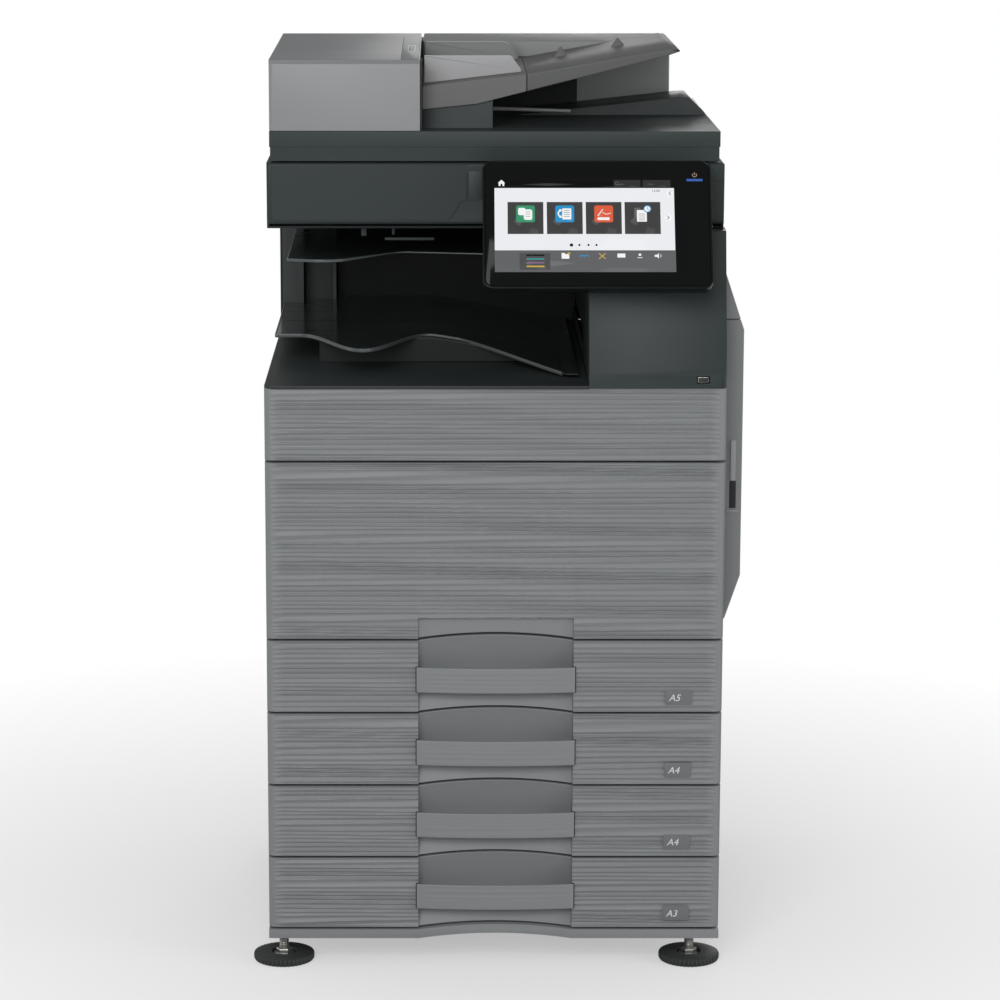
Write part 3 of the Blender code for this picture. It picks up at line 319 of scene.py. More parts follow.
# ---- Levelling feet ----
# Each foot is a black rubber-faced disc with a milled rim and a shallow dish, turned as one
# moulding; a zinc hexagon nut with a washer sits in the dish under the threaded stem.
def solid(name, points, faces, body, slot, material, smooth=35.0):
    """A closed mesh of points and faces; turned outward if its signed volume is negative."""
    mesh = bpy.data.meshes.new(name)
    mesh.from_pydata(np.asarray(points, float).reshape(-1, 3).tolist(), [], faces)
    shape = bmesh.new()
    shape.from_mesh(mesh)
    bmesh.ops.remove_doubles(shape, verts=shape.verts, dist=1e-7)
    if shape.calc_volume(signed=True) < 0.0:
        bmesh.ops.reverse_faces(shape, faces=shape.faces)
    shape.to_mesh(mesh)
    shape.free()
    return place(name, mesh, body, slot, material, smooth)


def ring_faces(rings, around):
    """Quads between successive closed rings of points, and one flat face at each end."""
    i, j = np.meshgrid(np.arange(rings - 1), np.arange(around), indexing="ij")
    k = (j + 1) % around
    quads = np.stack([i * around + j, i * around + k, (i + 1) * around + k,
                      (i + 1) * around + j], axis=-1).reshape(-1, 4)
    ends = np.array([np.arange(around)[::-1], np.arange(around) + (rings - 1) * around])
    return quads.tolist() + ends.tolist()


def stack(name, rings, body, slot, material, smooth=35.0):
    """A closed solid through rings of points, an array of (rings, points around, 3)."""
    rings = np.asarray(rings, float)
    return solid(name, rings, ring_faces(*rings.shape[:2]), body, slot, material, smooth)


def turned(profile, centre, sides=64, notch=None):
    """Rings about an upright axis: radius and height down a profile, times a notch by angle."""
    profile = np.asarray(profile, float)
    angle = np.linspace(0.0, 2.0 * np.pi, sides, endpoint=False)
    radius = profile[:, 0, None] * (1.0 if notch is None else notch(angle, profile))
    return np.stack([centre[0] + radius * np.cos(angle), centre[1] + radius * np.sin(angle),
                     centre[2] + profile[:, 1, None] + 0.0 * angle], axis=-1)


BLACK_RUBBER = moulded("black_rubber", (0.021, 0.024, 0.024), 0.62, grain=700.0, bump=0.3)
FOOT_TEETH = 44
FOOT_SIDES = 8 * FOOT_TEETH
STEM_R, THREAD_PITCH, THREAD_DEPTH = 0.0056, 0.0016, 0.0006


def milled(angle, profile):
    """Rim notches: the radius drops by 3% in the middle of each tooth gap, near the rim only.

    A gap is where the cosine of the angle times the teeth is over 0.35; the notch comes in over
    the outer 4 mm of the radius.
    """
    gap = np.clip(np.cos(FOOT_TEETH * angle) - 0.35, 0.0, 1.0) / 0.65
    rim = np.clip((profile[:, 0, None] - 0.034) / 0.004, 0.0, 1.0)
    return 1.0 - 0.03 * gap * rim


for side in ("left", "right"):
    low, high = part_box(f"levelling_foot_{side}")
    x, y = (low.x + high.x) / 2, (low.y + high.y) / 2
    body = f"foot_{side}"
    dish = [(0.034, 0.0), (0.0385, 0.0008), (0.0398, 0.0030), (0.0400, 0.0075), (0.0392, 0.0096),
            (0.0350, 0.0108), (0.0250, 0.0112), (0.0165, 0.0110), (0.0152, 0.0085),
            (0.0148, 0.0060)]
    foot = (x, y, low.z)
    made = stack(f"foot_disc_{side}", turned(dish, foot, FOOT_SIDES, milled), body, "rubber",
                 BLACK_RUBBER)
    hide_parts(f"levelling_foot_{side}")
    washer = [(0.0132, 0.0055), (0.0136, 0.0060), (0.0136, 0.0078), (0.0132, 0.0083)]
    stack(f"foot_washer_{side}", turned(washer, foot), body, "steel", STEEL)
    nut = [(0.0098, 0.0080), (0.0106, 0.0088), (0.0106, 0.0140), (0.0098, 0.0150)]
    stack(f"foot_nut_{side}", turned(nut, foot, 6), body, "steel", STEEL, 20.0)
    length = high.z - low.z
    turns = np.linspace(0.0130, length - 0.0005, 72)
    wave = THREAD_DEPTH * np.cos(2 * np.pi * turns / THREAD_PITCH)
    thread = np.stack([STEM_R + wave, turns], axis=-1)
    stack(f"foot_stem_{side}", turned(thread, foot, 40), body, "steel", STEEL, 60.0)


# ---- Castors ----
# Four swivel castors carry the cabinet on pressed steel forks. Each wheel is a moulded nylon hub
# with a black rubber tyre run round it.
NYLON = moulded("off_white_nylon", (0.60, 0.59, 0.54), 0.48)


def refinish(name, material):
    """Keeps a CAD node as it is and gives it a finish."""
    for slot in frame["nodes"][name].material_slots:
        slot.material = material


for end in ("front", "rear"):
    for side in ("left", "right"):
        tag = f"{end}_{side}"
        refinish(f"caster_fork_{tag}", STEEL)
        low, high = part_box(f"caster_wheel_{tag}")
        middle = (low + high) / 2
        radius, half = (high.z - low.z) / 2, (high.x - low.x) / 2
        tyre = [(0.60, -0.96), (0.92, -1.0), (1.0, -0.62), (1.0, 0.62), (0.92, 1.0), (0.60, 0.96)]
        hub = [(0.58, -1.0), (0.54, -1.02), (0.54, 1.02), (0.58, 1.0)]
        for part, profile, sides, slot, finish in (("tyre", tyre, 56, "rubber", BLACK_RUBBER),
                                                   ("hub", hub, 40, "nylon", NYLON)):
            rings = turned(np.array(profile) * (radius, half), middle.zyx, sides)
            made = stack(f"castor_{part}_{tag}", rings[..., ::-1], f"wheel_{tag}", slot, finish)
            if part == "tyre":
                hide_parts(f"caster_wheel_{tag}")


# ---- Ribbed fronts ----
# The drawers, the toner door and the cover over it are grey mouldings with a relief of uneven
# ripples running from side to side. The ripples stop at a plain upright strip at each end, where
# the front turns the corner, and at the hand scoops in the middle.
FRONT_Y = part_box("front_door")[0].y
LEFT_X, RIGHT_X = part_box("front_door")[0].x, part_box("front_door")[1].x
SCOOP = (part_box("drawer_1_handle")[0].x + 0.0025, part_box("drawer_1_handle")[1].x - 0.0025)
SCOOP_WALL = 0.0006
ROW = 0.00075             # height of one row of points
CORNER_R = 0.0095         # how far the fronts turn back at their two ends
RIB_PITCH = 0.0064
RIB_DEPTH = 0.0027
EDGE_R = 0.0014           # the rounding along the seams
ARCH_RISE = 0.0075
WANDER = np.random.default_rng(11).uniform(0.0, 1.0, (7, 4))


def ripple(x, z):
    """Ripple depth, 0 at a crest to 1 in a valley.

    A cosine of the height over the pitch. Seven slow waves of x and z, each up to a fifth of a
    turn, are added to its phase, so that the lines wander, crowd and part; an eighth one fades
    the depth in and out along each line.
    """
    phase = z / RIB_PITCH
    for size, flat, steep, start in WANDER:
        wave = (0.2 + 1.1 * flat) * x + (9.0 + 34.0 * steep) * z + start
        phase = phase + (0.07 + 0.12 * size) * np.sin(2.0 * np.pi * wave)
    fade = 0.80 + 0.20 * np.sin(2.0 * np.pi * (0.6 * x + 29.0 * z + 0.2 * np.sin(9.0 * x)))
    return (0.5 - 0.5 * np.cos(2.0 * np.pi * phase)) ** 0.6 * fade


def arch_at(x):
    """Height of the round arch over the scoop: a parabola that is 0 at both sides."""
    u = np.clip((x - SCOOP[0]) / (SCOOP[1] - SCOOP[0]), 0.0, 1.0)
    return ARCH_RISE * 4.0 * u * (1.0 - u)


def smooth_step(value, low, high):
    """Goes from 0 at low to 1 at high on an S-shaped cubic."""
    u = np.clip((value - low) / (high - low), 0.0, 1.0)
    return u * u * (3.0 - 2.0 * u)


COLUMN = 0.0065           # width of one column of points


def front_columns():
    """x of the columns and how far the corner turning sets each one back."""
    turn = np.linspace(0.0, np.pi / 2, 7)
    inset = CORNER_R * (1.0 - np.cos(turn))
    left = np.stack([LEFT_X + inset, CORNER_R * (1.0 - np.sin(turn))], axis=-1)
    right = np.stack([RIGHT_X - inset, CORNER_R * (1.0 - np.sin(turn))], axis=-1)[::-1]
    stops = [LEFT_X + CORNER_R, SCOOP[0] - SCOOP_WALL, SCOOP[0] + SCOOP_WALL,
             SCOOP[1] - SCOOP_WALL, SCOOP[1] + SCOOP_WALL, RIGHT_X - CORNER_R]
    spans = [np.linspace(a, b, max(2, int((b - a) / COLUMN) + 1))[:-1]
             for a, b in zip(stops, stops[1:])]
    flat = np.concatenate(spans)[1:]
    middle = np.stack([flat, 0.0 * flat], axis=-1)
    return np.concatenate([left, middle, right])


def front_grid(z0, z1, low_arch, high_arch, hollow):
    """The face of one front, as rows of points from its lower to its upper edge.

    Each column runs from z0 to z1, raised by the arch where that edge has one. Depth is the sum
    of the corner's turning, a quarter round along both edges, the ripples, and in the scoop the
    hollow's own profile in place of the ripples.
    """
    columns = front_columns()
    x, turned_back = columns[:, 0], columns[:, 1]
    bottom = z0 + low_arch * arch_at(x)
    top = z1 + high_arch * arch_at(x)
    near = np.array([0.0, 0.12, 0.3, 0.6, 1.0]) * EDGE_R
    count = int((z1 - z0) / ROW)
    share = np.linspace(0.0, 1.0, count)[:, None]
    inner = bottom + EDGE_R + share * (top - bottom - 2 * EDGE_R)
    z = np.concatenate([bottom + near[:-1, None], inner, top - near[:-1][::-1, None]])
    edge = np.minimum(z - bottom, top - z)
    rounding = EDGE_R - np.sqrt(np.maximum(EDGE_R**2 - np.clip(EDGE_R - edge, 0, None)**2, 0.0))
    plain = smooth_step(np.minimum(x - LEFT_X, RIGHT_X - x), CORNER_R - 0.0005,
                        CORNER_R + 0.0015)
    scooped = ((x > SCOOP[0]) & (x < SCOOP[1])).astype(float)
    in_scoop = scooped * hollow(z, bottom, top)
    ribbed = plain * smooth_step(edge, EDGE_R * 0.5, EDGE_R * 1.6) * (1.0 - (in_scoop > 1e-5))
    depth = turned_back + rounding + RIB_DEPTH * ribbed * ripple(x + 0.0 * z, z) + in_scoop
    return np.stack([x + 0.0 * z, FRONT_Y + depth, z], axis=-1)


def plate_faces(rows, columns):
    """Faces of a plate: a grid of quads, then a strip from the grid's edge to the back's edge."""
    i, j = np.meshgrid(np.arange(rows - 1), np.arange(columns - 1), indexing="ij")
    a = (i * columns + j).ravel()
    quads = np.stack([a, a + 1, a + columns + 1, a + columns], axis=-1).tolist()
    edge = np.concatenate([np.arange(columns), np.arange(2, rows + 1) * columns - 1,
                           np.arange(rows * columns - 2, (rows - 1) * columns - 1, -1),
                           np.arange(rows - 2, 0, -1) * columns])
    back = rows * columns + np.arange(len(edge))
    strip = np.stack([edge, back, np.roll(back, -1), np.roll(edge, -1)], axis=-1).tolist()
    return quads + strip + [back.tolist()], edge


def plate(name, grid, back_y, body, slot, material):
    """A plate with a shaped front face, straight sides and a flat back at one y."""
    faces, edge = plate_faces(*grid.shape[:2])
    points = grid.reshape(-1, 3)
    back = points[edge].copy()
    back[:, 1] = back_y
    return solid(name, np.concatenate([points, back]), faces, body, slot, material)


# ---- Paper drawers ----
# Four drawers, each a front with a hand scoop, a bowed grip bar across it and an off-white tray.
# The scoop is deepest behind the bar. A small plate at the right carries the paper size.
PLATE_MARKS = {1: "A5", 2: "A4", 3: "A4", 4: "A3"}
PLATE_GREY = moulded("size_plate", (0.135, 0.140, 0.143), 0.42)
INK_WHITE = moulded("white_print", (0.62, 0.63, 0.63), 0.5, bump=0.0)
# This black is painted shade in gaps, slots, wells, seams and pockets; the size ticks on the scale
# use it as print.
GAP_SHADE_AND_PRINT = moulded("gap_shade_and_print", (0.012, 0.013, 0.013), 0.75, bump=0.0)


def drawer_hollow(z, bottom, top):
    """A round trough: 5 mm deep at the edges, 19 mm behind the bar."""
    u = np.clip((z - bottom) / (top - bottom), 0.0, 1.0)
    return 0.005 + 0.014 * np.sin(np.pi * u) ** 0.9


def oblong(width, height, corner, steps=6):
    """A rounded rectangle about 0, 0 as a loop of points, anticlockwise from the right."""
    turn = np.linspace(0.0, np.pi / 2, steps)
    quarter = corner * np.stack([np.cos(turn), np.sin(turn)], axis=-1)
    middles = np.array([(1, 1), (-1, 1), (-1, -1), (1, -1)]) * (width / 2 - corner,
                                                                height / 2 - corner)
    spin = np.array([[0, 1], [-1, 0]])
    return np.concatenate([middle + quarter @ np.linalg.matrix_power(spin, step)
                           for step, middle in enumerate(middles)])


def button(width, height, thick, corner, bevel):
    """Rings of a flat button about 0, 0: its back, its sides, its bevel and its face."""
    rings = []
    for inset, rise in ((0.0, 0.0), (0.0, thick - bevel), (0.3 * bevel, thick - 0.3 * bevel),
                        (bevel, thick)):
        loop = oblong(width - 2 * inset, height - 2 * inset, max(corner - inset, 1e-4))
        rings.append(np.column_stack([loop, np.full(len(loop), rise)]))
    return np.array(rings)


def upright(rings, x, y, z):
    """Rings made lying down, stood up so that they face the front, about a point."""
    return np.stack([x + rings[..., 0], y - rings[..., 2], z + rings[..., 1]], axis=-1)


def pad(name, size, spot, body, slot, material, facing=upright):
    """A flat button of (width, height, thickness, corner, bevel), facing one way at a spot."""
    stack(name, facing(button(*size), *spot), body, slot, material)


def words_mesh(name, words, height, depth, slant=0.0):
    """Words as a thin mesh lying face up, their lower left corner at 0, 0."""
    curve = bpy.data.curves.new(name, "FONT")
    curve.body = words
    curve.size = height
    curve.shear = slant
    curve.extrude = depth / 2
    curve.resolution_u = 3
    source = bpy.data.objects.new(name, curve)
    bpy.context.scene.collection.objects.link(source)
    bpy.context.view_layer.update()
    mesh = bpy.data.meshes.new_from_object(source)
    bpy.data.objects.remove(source)
    mesh.name = name
    mesh.materials.clear()
    return mesh


BAR_STEPS, BAR_SIDES = 60, 72
BAR_THIN, BAR_SWELL = 0.0030, 0.0025
BAR_DENTS = 0.0008


def grip_bar(low, high):
    """Rings of the bowed bar from end to end: a rounded section whose front carries ripples.

    The front of the section stands out by the bow, a parabola along the bar to the power 0.8.
    The section is a rounded rectangle, a superellipse of power 7, which is thinnest at both
    ends, and its front is dimpled by the same ripples as the drawers.
    """
    x = np.linspace(low.x, high.x, BAR_STEPS)[:, None]
    u = (x - low.x) / (high.x - low.x)
    bow = (high.y - low.y - BAR_THIN) * (1.0 - (2.0 * u - 1.0) ** 2) ** 0.8
    angle = np.linspace(0.0, 2.0 * np.pi, BAR_SIDES, endpoint=False)
    side, up = np.cos(angle), np.sin(angle)
    square = 1.0 / (np.abs(side) ** 7 + np.abs(up) ** 7) ** (1.0 / 7.0)
    thick = BAR_THIN + BAR_SWELL * (1.0 - (2.0 * u - 1.0) ** 8)
    z = (low.z + high.z) / 2 + (high.z - low.z) / 2 * square * up + 0.0 * x
    front = np.clip(-side * square, 0.0, 1.0)
    shallow = smooth_step(np.minimum(u, 1.0 - u), 0.0, 0.12)
    dents = BAR_DENTS * ripple(x + 0.3, z) * smooth_step(front, 0.9, 1.0) * shallow
    y = high.y - BAR_THIN - bow + (1.0 + side * square) * thick / 2 + dents
    return np.stack([x + 0.0 * z, y, z], axis=-1)


for number, mark in PLATE_MARKS.items():
    body = f"drawer_{number}"
    low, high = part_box(f"{body}_front")
    grid = front_grid(low.z, high.z - ARCH_RISE, 1.0, 1.0, drawer_hollow)
    made = plate(f"{body}_ribbed_front", grid, high.y, body, "body_grey", GREY)
    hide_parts(f"{body}_front")
    low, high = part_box(f"{body}_handle")
    made = stack(f"{body}_grip_bar", grip_bar(low, high), body, "body_grey", GREY, 60.0)
    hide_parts(f"{body}_handle")
    # Dark pads at the bar's ends are painted shade in the pockets the bar runs into.
    for end, x in (("left", low.x + 0.0012), ("right", high.x - 0.0012)):
        pad(f"{body}_grip_seat_{end}", (0.0050, high.z - low.z + 0.0016, 0.0004, 0.0012, 0.0002),
            (x, FRONT_Y, (low.z + high.z) / 2), body, "gloss_black", GAP_SHADE_AND_PRINT)
    soften(f"{body}_tray", NYLON, "nylon", 0.0008)
    x, z = RIGHT_X - 0.0568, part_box(f"{body}_front")[0].z + 0.0195
    pad(f"{body}_size_plate", (0.0352, 0.0200, 0.0007, 0.0025, 0.0003), (x, FRONT_Y + 0.0003, z),
        body, "body_grey", PLATE_GREY)
    mesh = words_mesh(f"{body}_size_mark", mark, 0.0125, 0.0002, 0.25)
    mesh.transform(Matrix.Translation((x - 0.0125, FRONT_Y - 0.0005, z - 0.0045))
                   @ Matrix.Rotation(math.pi / 2, 4, "X"))
    place(f"{body}_size_mark", mesh, body, "nylon", INK_WHITE, smooth=0)


# ---- Engine body ----
# The steel frame of the print engine with its drums, belt, toner bottles and fuser, closed in by
# moulded covers: the ribbed door and the cover over it in front, plain ones at the other sides.
def door_hollow(z, bottom, top):
    """A shallow pocket along the lower edge: its crisp upper lip is an S-curve 1 mm high."""
    return POCKET_DEEP * (1.0 - smooth_step(z, DOOR_LOW + 0.0262, DOOR_LOW + 0.0272))


low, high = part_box("front_door")
DOOR_LOW = low.z
POCKET_DEEP = 0.006
grid = front_grid(low.z, high.z, 1.0, 0.0, door_hollow)
made = plate("toner_door", grid, FRONT_Y + 0.026, "front_door", "body_grey", GREY)
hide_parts("front_door")
for side, x in (("left", low.x + 0.0105), ("right", high.x - 0.0105)):
    pad(f"toner_door_stop_{side}", (0.012, high.z - low.z - 0.058, 0.0045, 0.003, 0.001),
        (x, high.y, (low.z + high.z) / 2 + 0.015), "front_door", "body_grey", GREY)
low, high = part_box("upper_front_cover")
grid = front_grid(low.z, high.z, 0.0, 0.0, lambda z, bottom, top: 0.0 * z)
made = plate("upper_ribbed_cover", grid, high.y, "root", "body_grey", GREY)
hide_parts("upper_front_cover")

FRAME_STEEL = moulded("frame_sheet_steel", (0.42, 0.42, 0.41), 0.42, grain=1400.0, bump=0.05,
                      metallic=0.6)
refinish("engine_frame", FRAME_STEEL)
for name in ("left_cover", "right_cover", "rear_cover"):
    soften(name, GREY, "body_grey", 0.0025)
LASER_BLACK = moulded("laser_black", (0.018, 0.018, 0.020), 0.38)
BELT_BLACK = moulded("belt_black", (0.016, 0.016, 0.017), 0.30, grain=300.0)
DRUM_COAT = moulded("drum_coat", (0.020, 0.120, 0.100), 0.16, bump=0.02, coat_weight=0.6)
soften("laser_unit", LASER_BLACK, "gloss_black", 0.0015)
soften("transfer_belt", BELT_BLACK, "rubber", 0.0003)
for number in (1, 2, 3, 4):
    soften(f"drum_{number}", DRUM_COAT, "drum_coat", 0.0004)
soften("fuser_roller", DRUM_COAT, "drum_coat", 0.0004)
soften("pressure_roller", BLACK_RUBBER, "rubber", 0.0004)
TONERS = {"black": (0.022, 0.022, 0.022), "cyan": (0.02, 0.30, 0.50),
          "magenta": (0.50, 0.03, 0.20), "yellow": (0.65, 0.50, 0.03)}
for tint, colour in TONERS.items():
    soften(f"toner_bottle_{tint}", moulded(f"toner_{tint}", colour, 0.36), f"toner_{tint}", 0.0015)

# The rear cover is louvred where the fans blow out, and carries the black mains inlet. The louvre
# slots and the inlet's well are dark pads of painted shade.
LOUVRES = 11
LOUVRE_PITCH = 0.0095
REAR_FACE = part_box("rear_cover")[1].y


def rearward(rings, x, y, z):
    """Rings made lying down, stood up so that they face the rear, about a point."""
    return np.stack([x - rings[..., 0], y + rings[..., 2], z + rings[..., 1]], axis=-1)


for group_name, middle_x, first_z in (("fan", 0.165, 0.575), ("power", -0.160, 0.470)):
    for row in range(LOUVRES):
        pad(f"louvre_{group_name}_{row + 1}", (0.150, 0.0048, 0.0012, 0.0023, 0.0004),
            (middle_x, REAR_FACE - 0.00115, first_z + row * LOUVRE_PITCH), "root", "gloss_black",
            GAP_SHADE_AND_PRINT, rearward)
INLET = (-0.22535, 0.399)
for part, width, height, set_in, material in (
        ("housing", 0.0345, 0.0275, 0.0085, LASER_BLACK),
        ("well", 0.0265, 0.0195, 0.0070, GAP_SHADE_AND_PRINT)):
    pad(f"mains_inlet_{part}", (width, height, 0.0012, 0.003, 0.0004),
        (INLET[0], REAR_FACE - set_in, INLET[1]), "root", "gloss_black", material, rearward)
for pin, x in enumerate((-0.0070, 0.0, 0.0070)):
    pad(f"mains_inlet_pin_{pin + 1}", (0.0022, 0.0060, 0.0060, 0.0004, 0.0004),
        (INLET[0] + x, REAR_FACE - 0.0062, INLET[1]), "root", "steel", STEEL, rearward)


# ---- Right side unit ----
# The bulging door over the paper path, a grey moulding split by one shut line, with the bypass
# tray folded flush into it. Both have finger pockets; the door's latch lever is a loose bar.
def relief(name, rows, columns, place_point, back, body, slot, material):
    """A plate with a worked face: place_point turns grids of two parameters into points.

    The two parameters run over rows and columns; back moves a face point to the flat back.
    """
    u, v = np.meshgrid(columns, rows)
    grid = place_point(u, v)
    faces, edge = plate_faces(*grid.shape[:2])
    points = grid.reshape(-1, 3)
    return solid(name, np.concatenate([points, back(points[edge])]), faces, body, slot, material)


def lined(start, stop, step, extra=()):
    """Values from start to stop about a step apart, with extra ones put in between."""
    even = np.linspace(start, stop, max(2, int(abs(stop - start) / step) + 1))
    return np.unique(np.round(np.concatenate([even, list(extra)]), 6))


def pocket(u, v, middle, half, corner, depth, wall=0.0016):
    """Depth of a rounded-rectangle pocket: its wall falls over a width on an S-shaped cubic."""
    du = np.abs(u - middle[0]) - (half[0] - corner)
    dv = np.abs(v - middle[1]) - (half[1] - corner)
    outside = np.hypot(np.maximum(du, 0.0), np.maximum(dv, 0.0)) + np.minimum(
        np.maximum(du, dv), 0.0) - corner
    return depth * (1.0 - smooth_step(outside, -wall, 0.0))


def rounded_off(u, v, u_span, v_span, radius):
    """How far a plate's rim drops back in a quarter round of one radius."""
    edge = np.minimum(np.minimum(u - u_span[0], u_span[1] - u),
                      np.minimum(v - v_span[0], v_span[1] - v))
    short = np.clip(radius - edge, 0.0, radius)
    return radius - np.sqrt(np.maximum(radius**2 - short**2, 0.0))


SIDE_LOW, SIDE_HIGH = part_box("side_door")
SHUT_Z = SIDE_HIGH.z - 0.0645
SHUT_GAP = 0.0011
LATCH_GREY = moulded("latch_grey", (0.300, 0.305, 0.305), 0.42)
for label, bottom, top in (("lower", SIDE_LOW.z - 1.0, SHUT_Z),
                           ("upper", SHUT_Z + SHUT_GAP, SIDE_HIGH.z + 1.0)):
    soften("side_door", GREY, "body_grey", 0.0016, 3, f"side_door_{label}", (2, bottom, top))
low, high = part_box("bypass_tray")
TRAY_RIM = 0.0018
GRIP_AT = ((low.y + high.y) / 2, high.z - 0.022)
rows = lined(low.z, high.z, 0.0030, low.z + TRAY_RIM * np.array([0.1, 0.35, 0.7, 1.0]))
rows = np.unique(np.concatenate([rows, low.z + high.z - rows,
                                 lined(GRIP_AT[1] - 0.012, GRIP_AT[1] + 0.012, 0.0008)]))
columns = lined(low.y, high.y, 0.0035, low.y + TRAY_RIM * np.array([0.1, 0.35, 0.7, 1.0]))
columns = np.unique(np.concatenate([columns, low.y + high.y - columns]))


def bypass_face(y, z):
    """The tray's outer face: a rounded rim, two shallow ribs and the finger pocket."""
    depth = rounded_off(y, z, (low.y, high.y), (low.z, high.z), TRAY_RIM)
    depth += pocket(y, z, GRIP_AT, (0.048, 0.010), 0.008, 0.0075, 0.0022)
    for shift in (-0.045, -0.058):
        middle = ((low.y + high.y) / 2, high.z + shift)
        depth += pocket(y, z, middle, (0.145, 0.0022), 0.002, 0.0008, 0.0014)
    return np.stack([high.x - depth, y, z], axis=-1)


made = relief("bypass_tray_cover", rows, columns, bypass_face,
              lambda edge: np.column_stack([0.0 * edge[:, 0] + low.x, edge[:, 1:]]),
              "bypass_tray", "body_grey", GREY)
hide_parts("bypass_tray")

# The latch lever, its well and the shelf under it lie in the front edge of the door.
# The latch's well is a dark pad of painted shade.
EDGE_PARTS = {"lever": (0.660, 0.0065, 0.053, 0.0022, LATCH_GREY),
              "well": (0.6145, 0.0085, 0.036, 0.0006, GAP_SHADE_AND_PRINT),
              "shelf": (0.5930, 0.0150, 0.0022, 0.0016, LATCH_GREY)}
for part, (z, width, height, thick, material) in EDGE_PARTS.items():
    pad(f"side_latch_{part}", (width, height, thick, 0.0010, 0.0003),
        (SIDE_HIGH.x - 0.0117, SIDE_LOW.y + 0.0002, z), "side_door", "body_grey", material)


# ---- Output bay ----
# A slate moulded bay over the engine: a thin deck with a plinth, rear walls, and a column in
# front of the exit shaft with a small data port. Broad soft roundings carry most highlights; a
# strip on the step's edge is a painted one, and darker slate is painted shade inside the bay.
SLATE = moulded("slate_plastic", (0.0245, 0.0325, 0.0325), 0.44, specular_ior_level=0.26)
# This darker slate is painted shade: inside the bay under the scanner, on the plinth under the
# sheet, and under the feeder's mouth.
SLATE_PAINTED_SHADE = moulded("slate_painted_shade", (0.012, 0.014, 0.014), 0.50, specular_ior_level=0.25)


def filleted(corners):
    """A closed outline of corners (u, v, radius), each rounded by an arc that meets its sides."""
    corners = np.asarray(corners, float)
    here, radius = corners[:, :2], corners[:, 2]
    out = []
    for before, at, after, r in zip(np.roll(here, 1, 0), here, np.roll(here, -1, 0), radius):
        a, b = before - at, after - at
        a, b = a / np.linalg.norm(a), b / np.linalg.norm(b)
        half = math.acos(np.clip(a @ b, -1.0, 1.0)) / 2
        if r <= 0.0 or half > 1.5:
            out.append(at[None])
            continue
        bisector = (a + b) / np.linalg.norm(a + b)
        centre = at + bisector * r / math.sin(half)
        start = at + a * r / math.tan(half) - centre
        stop = at + b * r / math.tan(half) - centre
        t = np.linspace(0.0, 1.0, 6)[:, None]
        span = math.pi - 2 * half
        out.append(centre + (np.sin((1 - t) * span) * start + np.sin(t * span) * stop)
                   / math.sin(span))
    return np.concatenate(out)


def box(x0, x1, y0, y1, *radii):
    """The corners of a box outline, anticlockwise from the least x and y, with their radii."""
    return list(zip((x0, x1, x1, x0), (y0, y0, y1, y1), radii * 4 if len(radii) == 1 else radii))


def shrunk(loop, amount):
    """The outline moved inward by an amount, along the mean of the normals of its two sides."""
    side = np.roll(loop, -1, 0) - loop
    side = side / np.maximum(np.linalg.norm(side, axis=1, keepdims=True), 1e-9)
    normal = np.column_stack([-side[:, 1], side[:, 0]])
    turn = np.sum(loop[:, 0] * np.roll(loop[:, 1], -1) - loop[:, 1] * np.roll(loop[:, 0], -1))
    mean = normal + np.roll(normal, 1, 0)
    mean = mean / np.maximum(np.sum(mean**2, axis=1, keepdims=True) / 2, 0.5)
    return loop + amount * np.sign(turn) * mean


AXES = {"x": (2, 0, 1), "y": (0, 2, 1), "z": (0, 1, 2)}


def moulding(name, corners, span, axis, body, slot, material, bevel=0.0010, smooth=35.0):
    """A solid of a filleted outline carried along one axis, its two ends rounded by a bevel.

    The outline is in (y, z) for axis x, (x, z) for axis y and (x, y) for axis z.
    """
    loop = filleted(corners)
    rings = []
    for inset, place_in in ((1.8, 0.0), (1.0, 0.0), (0.3, 0.3), (0.0, 1.0)):
        flat = shrunk(loop, bevel * inset)
        rings.append(np.column_stack([flat, np.full(len(flat), span[0] + bevel * place_in)]))
    for ring in rings[::-1]:
        mirrored = ring.copy()
        mirrored[:, 2] = span[0] + span[1] - ring[:, 2]
        rings.append(mirrored)
    return stack(name, np.array(rings)[..., list(AXES[axis])], body, slot, material, smooth)


low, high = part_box("output_deck")
DECK_TOP = low.z + 0.003
PLINTH = (low.x + 0.065, low.y + 0.187, high.y - 0.0703)
made = moulding("bay_deck", box(low.x, high.x, low.y, high.y, 0.0095, 0.0, 0.0, 0.002),
                (low.z, DECK_TOP), "z", "root", "slate", SLATE, 0.0009)
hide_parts("output_deck")
# A dark strip under the deck's front edge is painted shade in the seam.
seam = box(low.x + 0.009, high.x, low.z - 0.0010, low.z + 0.0016, 0.0)
moulding("bay_deck_seam", seam, (low.y - 0.00015, low.y + 0.0010), "y", "root", "gloss_black",
         GAP_SHADE_AND_PRINT, 0.0001)
SHEET_LOW, SHEET_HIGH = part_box("output_tray")
SLOPE = (SHEET_HIGH.x - 0.188, SHEET_HIGH.x - 0.016)
SLOPE_DROP = SHEET_HIGH.z - SHEET_LOW.z - 0.0022


def sheet_top(x):
    """Height of the output tray: level, then falling on a blend of a line and an S-curve."""
    share = np.clip((x - SLOPE[0]) / (SLOPE[1] - SLOPE[0]), 0.0, 1.0)
    return SHEET_HIGH.z - SLOPE_DROP * (0.7 * share + 0.3 * share * share * (3.0 - 2.0 * share))


